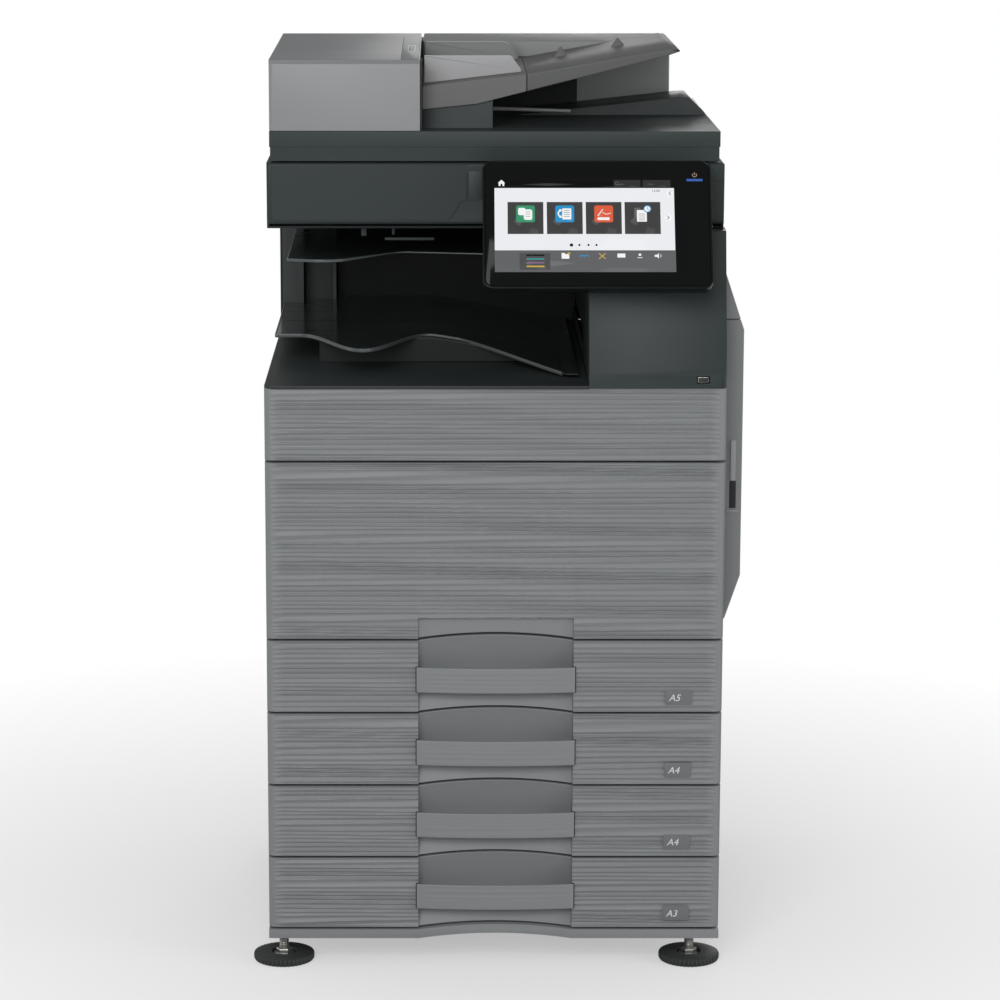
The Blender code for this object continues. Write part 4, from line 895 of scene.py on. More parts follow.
UNDER_SHEET = 0.0031      # from the sheet's top to the plinth's
runs = np.linspace(*SLOPE, 12)[::-1]
outline = [(PLINTH[0], DECK_TOP - 0.0005, 0.0), (SLOPE[1], DECK_TOP - 0.0005, 0.0)]
outline += [(x, z, 0.0) for x, z in zip(runs, sheet_top(runs) - UNDER_SHEET)]
outline.append((PLINTH[0], sheet_top(PLINTH[0]) - UNDER_SHEET, 0.003))
moulding("bay_plinth", outline, PLINTH[1:], "y", "root", "slate", SLATE_PAINTED_SHADE, 0.0015, 25.0)

HOUSING_LOW, HOUSING_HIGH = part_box("output_bay_housing")
STEP_EDGE = HOUSING_LOW.x + 0.078
PILLAR_Y, STEP_Y = HOUSING_HIGH.y - 0.1103, HOUSING_HIGH.y - 0.0703
soften("output_bay_housing", SLATE_PAINTED_SHADE, "slate", 0.0012, 3)
# The rear left pillar and the step beside it carry panels of slate painted lighter for the light
# they catch, and the strip on the step's rounded edge is a painted highlight.
PILLAR_SLATE_PAINTED_LIGHT = moulded("pillar_slate_painted_light", (0.041, 0.047, 0.047), 0.46, specular_ior_level=0.28)
STEP_EDGE_PAINTED_HIGHLIGHT = moulded("step_edge_painted_highlight", (0.060, 0.067, 0.067), 0.46, specular_ior_level=0.28)
PILLAR = {"bay_pillar_face": (0.0030, 0.0330, 0.1102, PILLAR_SLATE_PAINTED_LIGHT),
          "bay_step_face": (0.0338, 0.0716, 0.0702, SLATE),
          "bay_step_edge": (0.0720, 0.0776, 0.0702, STEP_EDGE_PAINTED_HIGHLIGHT)}
for name, (start, stop, back, finish) in PILLAR.items():
    corners = box(HOUSING_LOW.x + start, HOUSING_LOW.x + stop, SHEET_HIGH.z - 0.020,
                  HOUSING_HIGH.z - 0.004, 0.0015)
    face = HOUSING_HIGH.y - back
    moulding(name, corners, (face - 0.0006, face + 0.0004), "y", "root", "slate", finish, 0.0004)

# Small stops and a guide bar hang under the scanner at the front of the bay.
HANGERS = {"bay_stop_wide": (-0.1715, 0.0070, 0.9560, 0.0100, -0.170),
           "bay_stop_thin": (-0.1335, 0.0035, 0.9570, 0.0080, -0.170),
           "bay_guide_bar": (-0.1130, 0.0640, 0.9447, 0.0036, -0.150)}
for name, (x, width, z, height, y) in HANGERS.items():
    pad(name, (width, height, 0.004, 0.0008, 0.0005), (x, y, z), "root", "slate", SLATE)

# The column's front leans back above its foot; its lower right corner is rounded.
COLUMN_LOW, COLUMN_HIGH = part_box("right_column")
soften("right_column", SLATE, "slate", 0.0016, 3, round_at=[
    (0.0060, (COLUMN_HIGH.x - 0.001, COLUMN_LOW.y - 0.001, COLUMN_LOW.z - 0.001),
     (COLUMN_HIGH.x + 0.001, COLUMN_LOW.y + 0.001, COLUMN_LOW.z + 0.0195))])
PORT = (COLUMN_HIGH.x - 0.0296, COLUMN_LOW.y + 0.0060, COLUMN_LOW.z + 0.0108)
# The port's mouth is a dark pad of painted shade.
for part, width, height, set_out, slot, material in (
        ("shell", 0.0136, 0.0064, 0.0, "steel", STEEL),
        ("mouth", 0.0126, 0.0054, 0.0003, "gloss_black", GAP_SHADE_AND_PRINT),
        ("tongue", 0.0110, 0.0018, 0.0008, "gloss_black", LASER_BLACK)):
    pad(f"data_port_{part}", (width, height, 0.0040, 0.0008, 0.0003),
        (PORT[0], PORT[1] - set_out, PORT[2]), "root", slot, material)


# ---- Output trays ----
# Two pressed sheets of smoked clear plastic. The lower one is scalloped so that fingers reach
# the prints, and has a rolled front lip and long ribs; the upper one is cut back on a slant.
def smoked(name, colour, roughness, clear, coat):
    """Smoked plastic: a dark tint that passes a little light, with a clear glossy skin."""
    made = moulded(name, colour, roughness, 500.0, 0.04, mottle=0.10)
    shader = made.node_tree.nodes["Principled BSDF"]
    shader.inputs["Transmission Weight"].default_value = clear
    shader.inputs["Coat Weight"].default_value = coat
    shader.inputs["Coat Roughness"].default_value = 0.12
    return made


SMOKE = smoked("smoked_sheet", (0.026, 0.034, 0.034), 0.20, 0.25, 0.4)
# The lips and rims are a lighter smoke: a painted highlight where the sheets' edges catch the
# light.
LIP_HIGHLIGHT = smoked("smoked_lip_painted_highlight", (0.080, 0.094, 0.094), 0.34, 0.10, 0.15)
SCALLOP = (SHEET_LOW.x + 0.0345, SLOPE[0] - 0.007)
FRONT_LINE = PLINTH[1] + 0.0085
RIB_LINES = (0.060, 0.078, 0.112, 0.152, 0.240, 0.330)
RIB_RISE = 0.0007


def sheet_front(x):
    """Front edge of the output tray: straight, with one sine-squared wave reaching forward.

    On the slope it comes forward again, by 133 mm times the share of the slope to the power 1.33.
    """
    share = np.clip((x - SCALLOP[0]) / (SCALLOP[1] - SCALLOP[0]), 0.0, 1.0)
    down = np.clip((x + 0.050) / (SLOPE[1] + 0.050), 0.0, 1.0)
    return FRONT_LINE - 0.1276 * np.sin(np.pi * share) ** 2 - 0.133 * down ** 1.33


def sheet_back(x):
    """Rear edge of the output tray, stepped round the pillar and the step beside it."""
    back = np.full_like(x, SHEET_HIGH.y)
    back = np.where(x < HOUSING_LOW.x + 0.092, STEP_Y - 0.0007, back)
    return np.where(x < HOUSING_LOW.x + 0.047, PILLAR_Y - 0.0007, back)


across_x = np.linspace(SHEET_LOW.x, SHEET_HIGH.x, 150)
share = lined(0.0, 1.0, 0.0085)[:, None]
y = sheet_front(across_x) + share * (sheet_back(across_x) - sheet_front(across_x))
ribs = sum(np.exp(-((SHEET_HIGH.y - y - line) / 0.0012) ** 2) for line in RIB_LINES)
inner = smooth_step(np.minimum(across_x - SHEET_LOW.x, SHEET_HIGH.x - across_x), 0.002, 0.012)
top = sheet_top(across_x) - 0.0008 + RIB_RISE * ribs * inner
grid = np.stack([across_x + 0.0 * y, y, top], axis=-1)
faces, edge = plate_faces(*grid.shape[:2])
points = grid.reshape(-1, 3)
under = points.copy()
under[:, 2] = (sheet_top(across_x) + 0.0 * y).ravel() - 0.0022
quads = [face for face in faces if max(face) < len(points)]
strip = np.stack([edge, edge + len(points), np.roll(edge, -1) + len(points),
                  np.roll(edge, -1)], axis=-1).tolist()
below = (np.array([face for face in quads if len(face) == 4])[:, ::-1] + len(points)).tolist()
made = solid("output_tray_sheet", np.concatenate([points, under]), quads + strip + below, "root",
             "smoked_sheet", SMOKE)
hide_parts("output_tray")


def along(path, profile):
    """Rings of a profile (sideways, up) carried along a level path, square to its direction."""
    ahead = np.gradient(path, axis=0)
    ahead[:, 2] = 0.0
    ahead = ahead / np.linalg.norm(ahead, axis=1, keepdims=True)
    side = np.column_stack([ahead[:, 1], -ahead[:, 0], 0.0 * ahead[:, 0]])
    return (path[:, None] + side[:, None] * profile[None, :, :1]
            + np.array([0.0, 0.0, 1.0]) * profile[None, :, 1:])


def rail(name, path, section, body, slot, material, smooth=50.0, taper=1.0):
    """A bar along a path: its section is an oblong, scaled by a taper about the path."""
    rings = along(path, oblong(*section)) - path[:, None]
    return stack(name, path[:, None] + taper * rings, body, slot, material, smooth)


lip_x = np.linspace(SHEET_LOW.x + 0.0008, SLOPE[1] - 0.005, 150)
path = np.column_stack([lip_x, sheet_front(lip_x) + 0.0012, sheet_top(lip_x) - 0.0026])
rail("output_tray_lip", path, (0.0026, 0.0052, 0.0011, 4), "root", "smoked_sheet", LIP_HIGHLIGHT)
side_y = np.linspace(float(sheet_front(SHEET_LOW.x)) + 0.002, HOUSING_HIGH.y - 0.113, 24)
path = np.column_stack([np.full(24, SHEET_LOW.x + 0.0012), side_y,
                        np.full(24, SHEET_HIGH.z - 0.0026)])
rail("output_tray_side_lip", path, (0.0020, 0.0048, 0.0009, 4), "root", "smoked_sheet", LIP_HIGHLIGHT)

UPPER_LOW, UPPER_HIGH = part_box("upper_output_tray")
u, v = UPPER_LOW.x, UPPER_LOW.y
cut_back = [(u + 0.0145, v + 0.026, 0.004), (u + 0.059, v + 0.010, 0.040),
            (u + 0.086, v + 0.019, 0.020), (u + 0.1585, v + 0.1035, 0.025),
            (u + 0.270, v + 0.0822, 0.080), (UPPER_HIGH.x, v + 0.057, 0.0)]
walled = [(UPPER_HIGH.x, UPPER_HIGH.y, 0.0), (STEP_EDGE + 0.0003, UPPER_HIGH.y, 0.0),
          (STEP_EDGE + 0.0003, STEP_Y, 0.0), (HOUSING_LOW.x + 0.0333, STEP_Y, 0.0),
          (HOUSING_LOW.x + 0.0333, PILLAR_Y, 0.0), (u + 0.0145, PILLAR_Y, 0.002)]
made = moulding("upper_tray_sheet", cut_back + walled, (UPPER_LOW.z, UPPER_HIGH.z), "z", "root",
                "smoked_sheet", SMOKE, 0.0006)
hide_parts("upper_output_tray")
FREE_RIM = slice(2, 31)   # the points of the outline along the cut-back edge
rim = filleted(cut_back + walled)[FREE_RIM]
rim = np.column_stack([rim, np.full(len(rim), (UPPER_LOW.z + UPPER_HIGH.z) / 2)])
slim = np.interp(rim[:, 0], (u + 0.085, u + 0.150), (1.0, 0.45))[:, None, None]
rail("upper_tray_rim", rim, (0.0014, 0.0038, 0.0006, 4), "root", "smoked_sheet", LIP_HIGHLIGHT, taper=slim)


# ---- Scanner ----
# The flatbed's slate housing with raised fascias on its front: the left one ends in a wave where
# the panel hangs, the right one holds a small hatch. A glass platen lies in the top.
FACE_Y = HOUSING_LOW.y - 0.0005
SCAN_LOW, SCAN_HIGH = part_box("scanner_housing")
BED_LOW, BED_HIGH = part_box("platen_glass")
soften("scanner_housing", SLATE, "slate", 0.0012, 3, round_at=[
    (0.0050, (SCAN_LOW.x - 0.001, FACE_Y - 0.0001, SCAN_LOW.z + 0.008),
     (SCAN_LOW.x + 0.001, FACE_Y + 0.0001, BED_HIGH.z - 0.001)),
    (0.0080, (SCAN_HIGH.x - 0.001, FACE_Y, BED_HIGH.z - 0.0001),
     (SCAN_HIGH.x + 0.001, SCAN_HIGH.y + 0.001, BED_HIGH.z + 0.0001))])
FASCIA_X = (SCAN_LOW.x + 0.0055, 0.2742)
SPLIT_X, WAVE_X = -0.0391, (-0.0607, -0.0455)
FOOT_Z, LEDGE_Z, TOP_Z = SCAN_LOW.z + 0.0106, 1.0002, BED_HIGH.z - 0.0026
FASCIA_Y = (FACE_Y - 0.0010, FACE_Y + 0.0006)
FASCIAS = {"left": [(FASCIA_X[0], FOOT_Z, 0.0060), (WAVE_X[0], FOOT_Z, 0.012),
                    (WAVE_X[1], LEDGE_Z, 0.008), (SPLIT_X, LEDGE_Z, 0.0), (SPLIT_X, TOP_Z, 0.0),
                    (FASCIA_X[0], TOP_Z, 0.0015)],
           "right": box(SPLIT_X + 0.0009, FASCIA_X[1], LEDGE_Z, TOP_Z, 0.0, 0.0015, 0.0015, 0.0)}
for side, outline in FASCIAS.items():
    moulding(f"scanner_fascia_{side}", outline, FASCIA_Y, "y", "root", "slate", SLATE, 0.0007)
# A dark rim round the hatch is painted shade in its gap.
HATCH = (-0.0284, 1.0206)
for part, grow, rise, material in (("gap", 0.0012, 0.0001, GAP_SHADE_AND_PRINT),
                                   ("hatch", 0.0, 0.0004, SLATE)):
    pad(f"scanner_{part}", (0.0176 + grow, 0.0358 + grow, 0.0010, 0.0010, 0.0003),
        (HATCH[0], FASCIA_Y[0] + 0.0010 - rise, HATCH[1]), "root", "slate", material)
# The seams at the scanner's right end are dark strips of painted shade.
for seam, z in (("upper", 1.0258), ("lower", 0.9745)):
    pad(f"scanner_end_seam_{seam}", (0.0140, 0.0009, 0.0006, 0.0002, 0.0001),
        (FASCIA_X[1] + 0.0075, FACE_Y + 0.0001, z), "root", "slate", GAP_SHADE_AND_PRINT)

PLATEN = moulded("platen_glass", (0.80, 0.88, 0.86), 0.03, bump=0.0, mottle=0.02, dust=0.01,
                 transmission_weight=1.0, ior=1.5)
PAPER_WHITE = moulded("platen_white", (0.74, 0.75, 0.74), 0.55, bump=0.05)
soften("platen_glass", PLATEN, "glass", 0.0004)
SCALE_W = 0.0090
bed = box(BED_LOW.x - SCALE_W - 0.0006, BED_LOW.x - 0.0006, BED_LOW.y, BED_HIGH.y, 0.001)
moulding("size_scale", bed, (BED_HIGH.z - 0.0006, BED_HIGH.z + 0.0004), "z", "root", "slate",
         PAPER_WHITE, 0.0002)
MARK_AT = {"a5": 0.148, "a4": 0.210, "a3": 0.297}
middle_y = (BED_LOW.y + BED_HIGH.y) / 2
for size, across_bed in MARK_AT.items():
    for end, side in (("near", -1.0), ("far", 1.0)):
        rings = button(0.0060, 0.0008, 0.0003, 0.0002, 0.0001)
        spot = (BED_LOW.x - 0.0045, middle_y + side * across_bed / 2, BED_HIGH.z + 0.0003)
        stack(f"size_tick_{size}_{end}", rings + spot, "root", "gloss_black", GAP_SHADE_AND_PRINT)
soften("scan_carriage", LASER_BLACK, "gloss_black", 0.0012)
low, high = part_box("scan_carriage")
lamp_bar = button(0.0080, high.y - low.y - 0.030, 0.0012, 0.002, 0.0004)
stack("carriage_lamp", lamp_bar + ((low.x + high.x) / 2, (low.y + high.y) / 2, high.z - 0.0006),
      "carriage", "nylon", PAPER_WHITE)


# ---- Lid ----
# The slate lid swings on two rear hinges. Under it is a white foam mat; its top is the tray that
# catches ejected originals, with a ridge at the end and, under the feeder's mouth, a sheet of
# slate painted dark as the shade there.
LID_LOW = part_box("feeder_lid")[0]
soften("feeder_lid", SLATE, "slate", 0.0014, 3)
MAT_OVER = 0.004          # how far the mat reaches past the glass
mat = box(BED_LOW.x - MAT_OVER, BED_HIGH.x + MAT_OVER, BED_LOW.y - MAT_OVER,
          BED_HIGH.y + MAT_OVER, 0.004)
moulding("lid_foam_mat", mat, (LID_LOW.z - 0.0018, LID_LOW.z + 0.0002), "z", "lid", "nylon",
         PAPER_WHITE, 0.0006)
soften("pickup_roller", BLACK_RUBBER, "rubber", 0.0004)
DOC_LOW, DOC_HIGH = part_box("document_tray")
COVER_LOW, COVER_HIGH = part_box("feeder_cover")
LID_TOP = COVER_LOW.z - 0.0003
# Black plates between the feeder cover and the document tray stand for the shade in the gap between
# them.
gap_x = (COVER_HIGH.x + 0.0004, DOC_LOW.x - 0.0004)
GAP_SHADE_PLATES = {"front": (COVER_LOW.y + 0.004, DOC_LOW.y + 0.034, COVER_LOW.z + 0.0868),
           "middle": (DOC_LOW.y + 0.034, DOC_HIGH.y, COVER_LOW.z + 0.058),
           "rear": (DOC_HIGH.y, COVER_HIGH.y - 0.004, COVER_LOW.z + 0.0900)}
for name, (start, stop, top) in GAP_SHADE_PLATES.items():
    moulding(f"feeder_gap_shade_{name}", box(*gap_x, start, stop, 0.0), (LID_TOP - 0.001, top), "z",
             "lid", "gloss_black", GAP_SHADE_AND_PRINT, 0.0003)

REAR_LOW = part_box("feeder_rear_housing")[0]
# Feeder grey is the rear housing's own colour; on the rear paper guide it is painted shade.
FEEDER_GREY_AND_GUIDE_SHADE = moulded("feeder_grey_and_guide_shade", (0.225, 0.232, 0.232), 0.48)
soften("feeder_rear_housing", FEEDER_GREY_AND_GUIDE_SHADE, "body_grey", 0.0022, 3)
MOUTH = (-0.0040, 0.1135)
# A sheet of slate painted dark stands for the shade in the open mouth under the document tray.
shade_outline = box(*MOUTH, LID_TOP + 0.0006, LID_TOP + 0.070, 0.0, 0.0100, 0.0, 0.0)
moulding("exit_shade_sheet", shade_outline, (REAR_LOW.y - 0.0006, REAR_LOW.y + 0.0004), "y", "lid",
         "gloss_black", SLATE_PAINTED_SHADE, 0.0004)
ends = np.array([(MOUTH[0] + 0.001, -0.020, LID_TOP + 0.0122),
                 (MOUTH[1] - 0.014, -0.020, LID_TOP + 0.0092)])
bar_at = ends[0] + np.linspace(0.0, 1.0, 12)[:, None] * (ends[1] - ends[0])
taper = np.linspace(1.0, 0.8, 12)[:, None, None]
LIGHT = moulded("light_grey_plastic", (0.232, 0.238, 0.248), 0.44, dust=0.02)
GUIDE_LIGHT = moulded("guide_light_plastic", (0.370, 0.372, 0.380), 0.42, dust=0.02)
rail("exit_bar", bar_at, (0.0040, 0.0052, 0.0018, 4), "lid", "light_grey", LIGHT, taper=taper)


# ---- Feeder cover ----
# A light satin shell over the feed rollers, hinged at its left end. The top rises a little to the
# rear and has a long sunk plate at its right with a plain sheet sign on it.
soften("feeder_cover", LIGHT, "light_grey", 0.0013, 3, round_at=[
    (0.0060, (COVER_LOW.x - 0.001, COVER_LOW.y - 0.001, COVER_LOW.z - 0.001),
     (COVER_LOW.x + 0.001, COVER_LOW.y + 0.001, COVER_HIGH.z))])


def cover_top(y):
    """Height of the cover's top: it climbs evenly from the front edge to the rear one."""
    climb = (y - COVER_LOW.y - 0.006) / (COVER_HIGH.y - COVER_LOW.y - 0.014)
    return COVER_HIGH.z - 0.0058 + 0.0058 * climb


def on_cover(name, x_span, y_span, rise, corner, material):
    """A thin plate that lies on the cover's top."""
    rings = button(x_span[1] - x_span[0], y_span[1] - y_span[0], 0.0008, corner, 0.0003)
    rings = rings + ((x_span[0] + x_span[1]) / 2, (y_span[0] + y_span[1]) / 2, 0.0)
    rings[..., 2] += cover_top(rings[..., 1]) - 0.0008 + rise
    stack(name, rings, "feeder_cover", "body_grey", material)


sign_x = (COVER_HIGH.x - 0.0240, COVER_HIGH.x - 0.0018)
on_cover("sheet_sign_plate", sign_x, (COVER_LOW.y + 0.010, COVER_HIGH.y - 0.072), 0.00025, 0.0020,
         LIGHT)
# A dark rim round the sign plate is painted shade in its groove.
on_cover("sheet_sign_rim", (sign_x[0] - 0.0004, sign_x[1] + 0.0004),
         (COVER_LOW.y + 0.0094, COVER_HIGH.y - 0.0714), 0.00012, 0.0024, GAP_SHADE_AND_PRINT)
sheet_x, sheet_y = (sign_x[0] + 0.0070, sign_x[1] - 0.0050), (-0.078, 0.012)
on_cover("sheet_sign_page", sheet_x, sheet_y, 0.00035, 0.0012, INK_WHITE)
on_cover("sheet_sign_inner", (sheet_x[0] + 0.0016, sheet_x[1] - 0.0016),
         (sheet_y[0] + 0.010, sheet_y[1] - 0.010), 0.00045, 0.0006, PLATE_GREY)
for line in range(3):
    y = sheet_y[0] + 0.026 + 0.018 * line
    on_cover(f"sheet_sign_line_{line + 1}", (sheet_x[0] + 0.0034, sheet_x[1] - 0.0034),
             (y, y + 0.006), 0.00055, 0.0004, INK_WHITE)


# ---- Document tray ----
# A grey tray in two mouldings that slopes up to the right, with a long sheet slot and two fins,
# and two paper guides that slide apart on it together.
TRAY_SPLIT = DOC_LOW.x + 0.133
BEND_RUN, BEND_RISE = 0.135, 0.0385
LEFT_END = 0.023          # height of the tray's left end
BEND = DOC_LOW.x + BEND_RUN
TIP = (DOC_HIGH.x - 0.020, DOC_LOW.z + 0.0535)


def doc_top(x):
    """Height of the tray's upper face: two straight slopes that meet at the bend."""
    return DOC_LOW.z + np.interp(x, (DOC_LOW.x, BEND, DOC_HIGH.x),
                                 (LEFT_END, BEND_RISE, DOC_HIGH.z - DOC_LOW.z))


def doc_under(x):
    """Height of the tray's lower face left of the bend."""
    return DOC_LOW.z + 0.0115 * (x - DOC_LOW.x) / BEND_RUN


TRAY_GREY = moulded("tray_grey_plastic", (0.108, 0.108, 0.109), 0.48)
# The right moulding is the same grey plastic, painted darker as the shade on its front face.
TRAY_GREY_PAINTED_SHADE = moulded("tray_grey_painted_shade", (0.074, 0.075, 0.076), 0.48)
split_low, split_high = float(doc_under(TRAY_SPLIT)), float(doc_top(TRAY_SPLIT))
outline = [(DOC_LOW.x, DOC_LOW.z, 0.001), (TRAY_SPLIT, split_low + 0.0052, 0.0),
           (TRAY_SPLIT, split_high, 0.0), (DOC_LOW.x, DOC_LOW.z + LEFT_END, 0.001)]
made = moulding("document_tray_left", outline, (DOC_LOW.y, DOC_HIGH.y), "y", "document_tray",
                "body_grey", TRAY_GREY, 0.0012)
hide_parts("document_tray")
start = TRAY_SPLIT + 0.0008
outline = [(start, split_low + 0.0052, 0.0), (TIP[0] + 0.002, TIP[1] + 0.0085, 0.002),
           (DOC_HIGH.x, DOC_HIGH.z - 0.0030, 0.0012), (DOC_HIGH.x - 0.0135, DOC_HIGH.z, 0.0030),
           (BEND + 0.002, DOC_LOW.z + 0.0387, 0.020), (start, split_high, 0.0)]
moulding("document_tray_right", outline, (DOC_LOW.y, DOC_HIGH.y), "y", "document_tray",
         "body_grey", TRAY_GREY_PAINTED_SHADE, 0.0012)
# A thin apron carries the tray's front face down over the throat at its left end.
apron = [(DOC_LOW.x, DOC_LOW.z - 0.0066, 0.001), (DOC_LOW.x + 0.070, DOC_LOW.z + 0.0006, 0.020),
         (TRAY_SPLIT - 0.0010, split_low + 0.0050, 0.0),
         (TRAY_SPLIT - 0.0010, split_high - 0.0012, 0.0), (DOC_LOW.x, DOC_LOW.z + 0.0218, 0.0)]
moulding("document_tray_apron", apron, (DOC_LOW.y - 0.0003, DOC_LOW.y + 0.0026), "y",
         "document_tray", "body_grey", TRAY_GREY, 0.0003)
# The sheet slot is a dark strip of painted shade.
SLOT_Y = 0.030
slot_x = np.linspace(BEND + 0.012, DOC_HIGH.x - 0.030, 30)
path = np.column_stack([slot_x, np.full(30, SLOT_Y), doc_top(slot_x) - 0.0006])
rail("sheet_slot", path, (0.0030, 0.0014, 0.0004, 3), "document_tray", "gloss_black", GAP_SHADE_AND_PRINT,
     35.0)
for number, (start, stop) in enumerate(((0.078, 0.096), (0.153, 0.173))):
    base = float(doc_top((start + stop) / 2))
    rings = []
    for share, rise in ((1.0, -0.002), (0.94, 0.0006), (0.45, 0.0080), (0.16, 0.0128)):
        half_x, half_y = share * (stop - start) / 2, 0.0045 * share
        loop = oblong(2 * half_x, 2 * half_y, 0.0008)
        lift = base + (1.0 - 0.10 * number) * rise + loop[:, 0] * 0.165
        rings.append(np.column_stack([(start + stop) / 2 + loop[:, 0], SLOT_Y + loop[:, 1], lift]))
    stack(f"sheet_fin_{number + 1}", np.array(rings), "document_tray", "body_grey", TRAY_GREY)

# The rear guide is the same light plastic as the front one, painted in feeder grey as the shade on
# it; its rim keeps the light tone.
for end, material, slot in (("front", GUIDE_LIGHT, "light_grey"),
                            ("rear", FEEDER_GREY_AND_GUIDE_SHADE, "body_grey")):
    low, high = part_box(f"document_guide_{end}")
    high = Vector(high)
    high.z += 0.0022 if end == "rear" else 0.0
    foot = float(doc_top(high.x)) + 0.0004
    outline = [(low.x, low.z, 0.0), (high.x, foot, 0.002), (high.x - 0.0150, high.z, 0.006),
               (low.x, high.z, 0.0008)]
    made = moulding(f"paper_guide_{end}", outline, (low.y, high.y), "y", f"guide_{end}", slot,
                    material, 0.0007)
    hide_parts(f"document_guide_{end}")
    side = 1.0 if end == "front" else -1.0
    foot_x = np.linspace(low.x + 0.004, high.x - 0.020, 12)
    path = np.column_stack([foot_x, np.full(12, (low.y + high.y) / 2 + side * 0.0090),
                            doc_top(foot_x) + 0.0008])
    rail(f"paper_guide_foot_{end}", path, (0.0150, 0.0012, 0.0005, 3), f"guide_{end}", slot,
         material, 35.0)

low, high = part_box("document_guide_rear")
edge_x = np.linspace(low.x + 0.002, high.x - 0.001, 30)
drop = np.clip((edge_x - high.x + 0.024) / 0.024, 0.0, 1.0) ** 2.2
edge_z = high.z + 0.0024 - drop * (high.z + 0.0010 - float(doc_top(high.x)))
path = np.column_stack([edge_x, np.full(30, low.y - 0.0001), edge_z])
rail("paper_guide_rim_rear", path, (0.0014, 0.0014, 0.0004, 3), "guide_rear", "light_grey",
     GUIDE_LIGHT)


# ---- Control panel ----
# A glossy black panel on a friction hinge in front of the scanner. One sheet of glass covers its
# lit touch screen; a soft power key and a blue lamp bar sit at the screen's right.
TILT_AT = next(joint["pos_m"] for joint in frame["joints"] if joint["name"] == "panel_tilt")
LEAN = math.radians(30.0)
GLASS_OUT = 0.0258        # from the tilt axis to the face of the glass
PANEL_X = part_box("panel_housing")[0].x
PANEL_BLACK = moulded("panel_gloss_black", (0.0052, 0.0068, 0.0068), 0.20, bump=0.02, wear=0.04,
                      specular_ior_level=0.16)
GLASS_BLACK = moulded("panel_glass_black", (0.0040, 0.0052, 0.0052), 0.07, bump=0.0, wear=0.0,
                      dust=0.006, specular_ior_level=0.14)
soften("panel_housing", PANEL_BLACK, "gloss_black", 0.0014, 3)
soften("touch_screen", GLASS_BLACK, "gloss_black", 0.0003)


# The dots of the screen: the product of two cosine waves, over x and over height, makes the colour
# brighter at each dot and dimmer between two dots.
DOT_SCALE = 1050.0
group, given, out = new_group("screen_dots", {"Colour": ("colour", (0.5, 0.5, 0.5, 1.0))},
                              {"Colour": "colour"})
spot = node(group, "ShaderNodeTexCoord").outputs["Object"]
dots = [node(group, "ShaderNodeTexWave", wave_type="BANDS", bands_direction=direction,
             wave_profile="SIN", in_Vector=spot, in_Scale=DOT_SCALE,
             in_Distortion=0.0).outputs["Fac"] for direction in ("X", "Z")]
dots = node(group, "ShaderNodeMath", operation="MULTIPLY", in_0=dots[0], in_1=dots[1])
gain = node(group, "ShaderNodeMapRange", in_0=dots.outputs[0], in_3=0.93, in_4=1.07)
glow = node(group, "ShaderNodeVectorMath", operation="SCALE", in_0=given.outputs["Colour"],
            in_Scale=gain.outputs[0])
group.links.new(glow.outputs[0], out.inputs["Colour"])


def lit(name, colour):
    """A patch of backlit screen under glass: the dot group's colour glows."""
    made = bpy.data.materials.new(name)
    made.use_nodes = True
    tree = made.node_tree
    shader = tree.nodes["Principled BSDF"].inputs
    for label, value in {"Base Color": (0.004, 0.004, 0.004, 1.0), "Roughness": 0.12,
                         "Specular IOR Level": 0.10, "Emission Strength": 1.0}.items():
        shader[label].default_value = value
    effect = node(tree, "ShaderNodeGroup", node_tree=bpy.data.node_groups["screen_dots"],
                  in_Colour=(*colour, 1.0))
    tree.links.new(effect.outputs["Colour"], shader["Emission Color"])
    return made


def patch(x0, x1, z0, z1, corner=0.4):
    """A rounded rectangle between two sides and two heights."""
    return oblong(x1 - x0, z1 - z0, corner, 4) + ((x0 + x1) / 2, (z0 + z1) / 2)


def disc(x, z, radius):
    """A circle as a loop of points."""
    turn = np.linspace(0.0, 2 * np.pi, 28, endpoint=False)
    return np.column_stack([x + radius * np.cos(turn), z + radius * np.sin(turn)])


def stroke(a, b, width):
    """A straight bar from one point to another, as a loop of four points."""
    a, b = np.asarray(a, float), np.asarray(b, float)
    along_it = (b - a) / np.linalg.norm(b - a)
    side = np.array([-along_it[1], along_it[0]]) * width / 2
    return np.array([a - side, b - side, b + side, a + side])


def lines(x0, x1, heights, width=0.7):
    """Level strokes between two sides, one at each height."""
    return [stroke((x0, z), (x1, z), width) for z in heights]


def arc(x, z, radius, start, stop, width):
    """A curved bar: an inner and an outer arc round one centre, joined at their ends."""
    turn = np.radians(np.linspace(start, stop, 16))
    way = np.column_stack([np.cos(turn), np.sin(turn)])
    outer, inner = way * (radius + width / 2), way[::-1] * (radius - width / 2)
    return np.concatenate([outer, inner]) + (x, z)


LIT = {name: lit(f"lit_{name}", colour) for name, colour in {
    "black": (0.0012, 0.0012, 0.0012), "white": (0.86, 0.87, 0.90), "paper": (0.93, 0.94, 0.95),
    "tile_grey": (0.052, 0.052, 0.053), "bar_grey": (0.125, 0.128, 0.133),
    "box_grey": (0.080, 0.082, 0.085), "key_grey": (0.030, 0.030, 0.031),
    "green": (0.045, 0.305, 0.155), "blue": (0.025, 0.290, 0.580), "red": (0.740, 0.115, 0.050),
    "teal": (0.055, 0.300, 0.300), "mauve": (0.240, 0.140, 0.260),
    "yellow": (0.620, 0.420, 0.080), "lamp_blue": (0.045, 0.120, 0.420),
    "amber": (0.420, 0.300, 0.210)}.items()}
EDGE = 13.9               # the signs are counted from here, left of the screen
LAYER = 0.05              # thickness of one sign, and step from one layer to the next


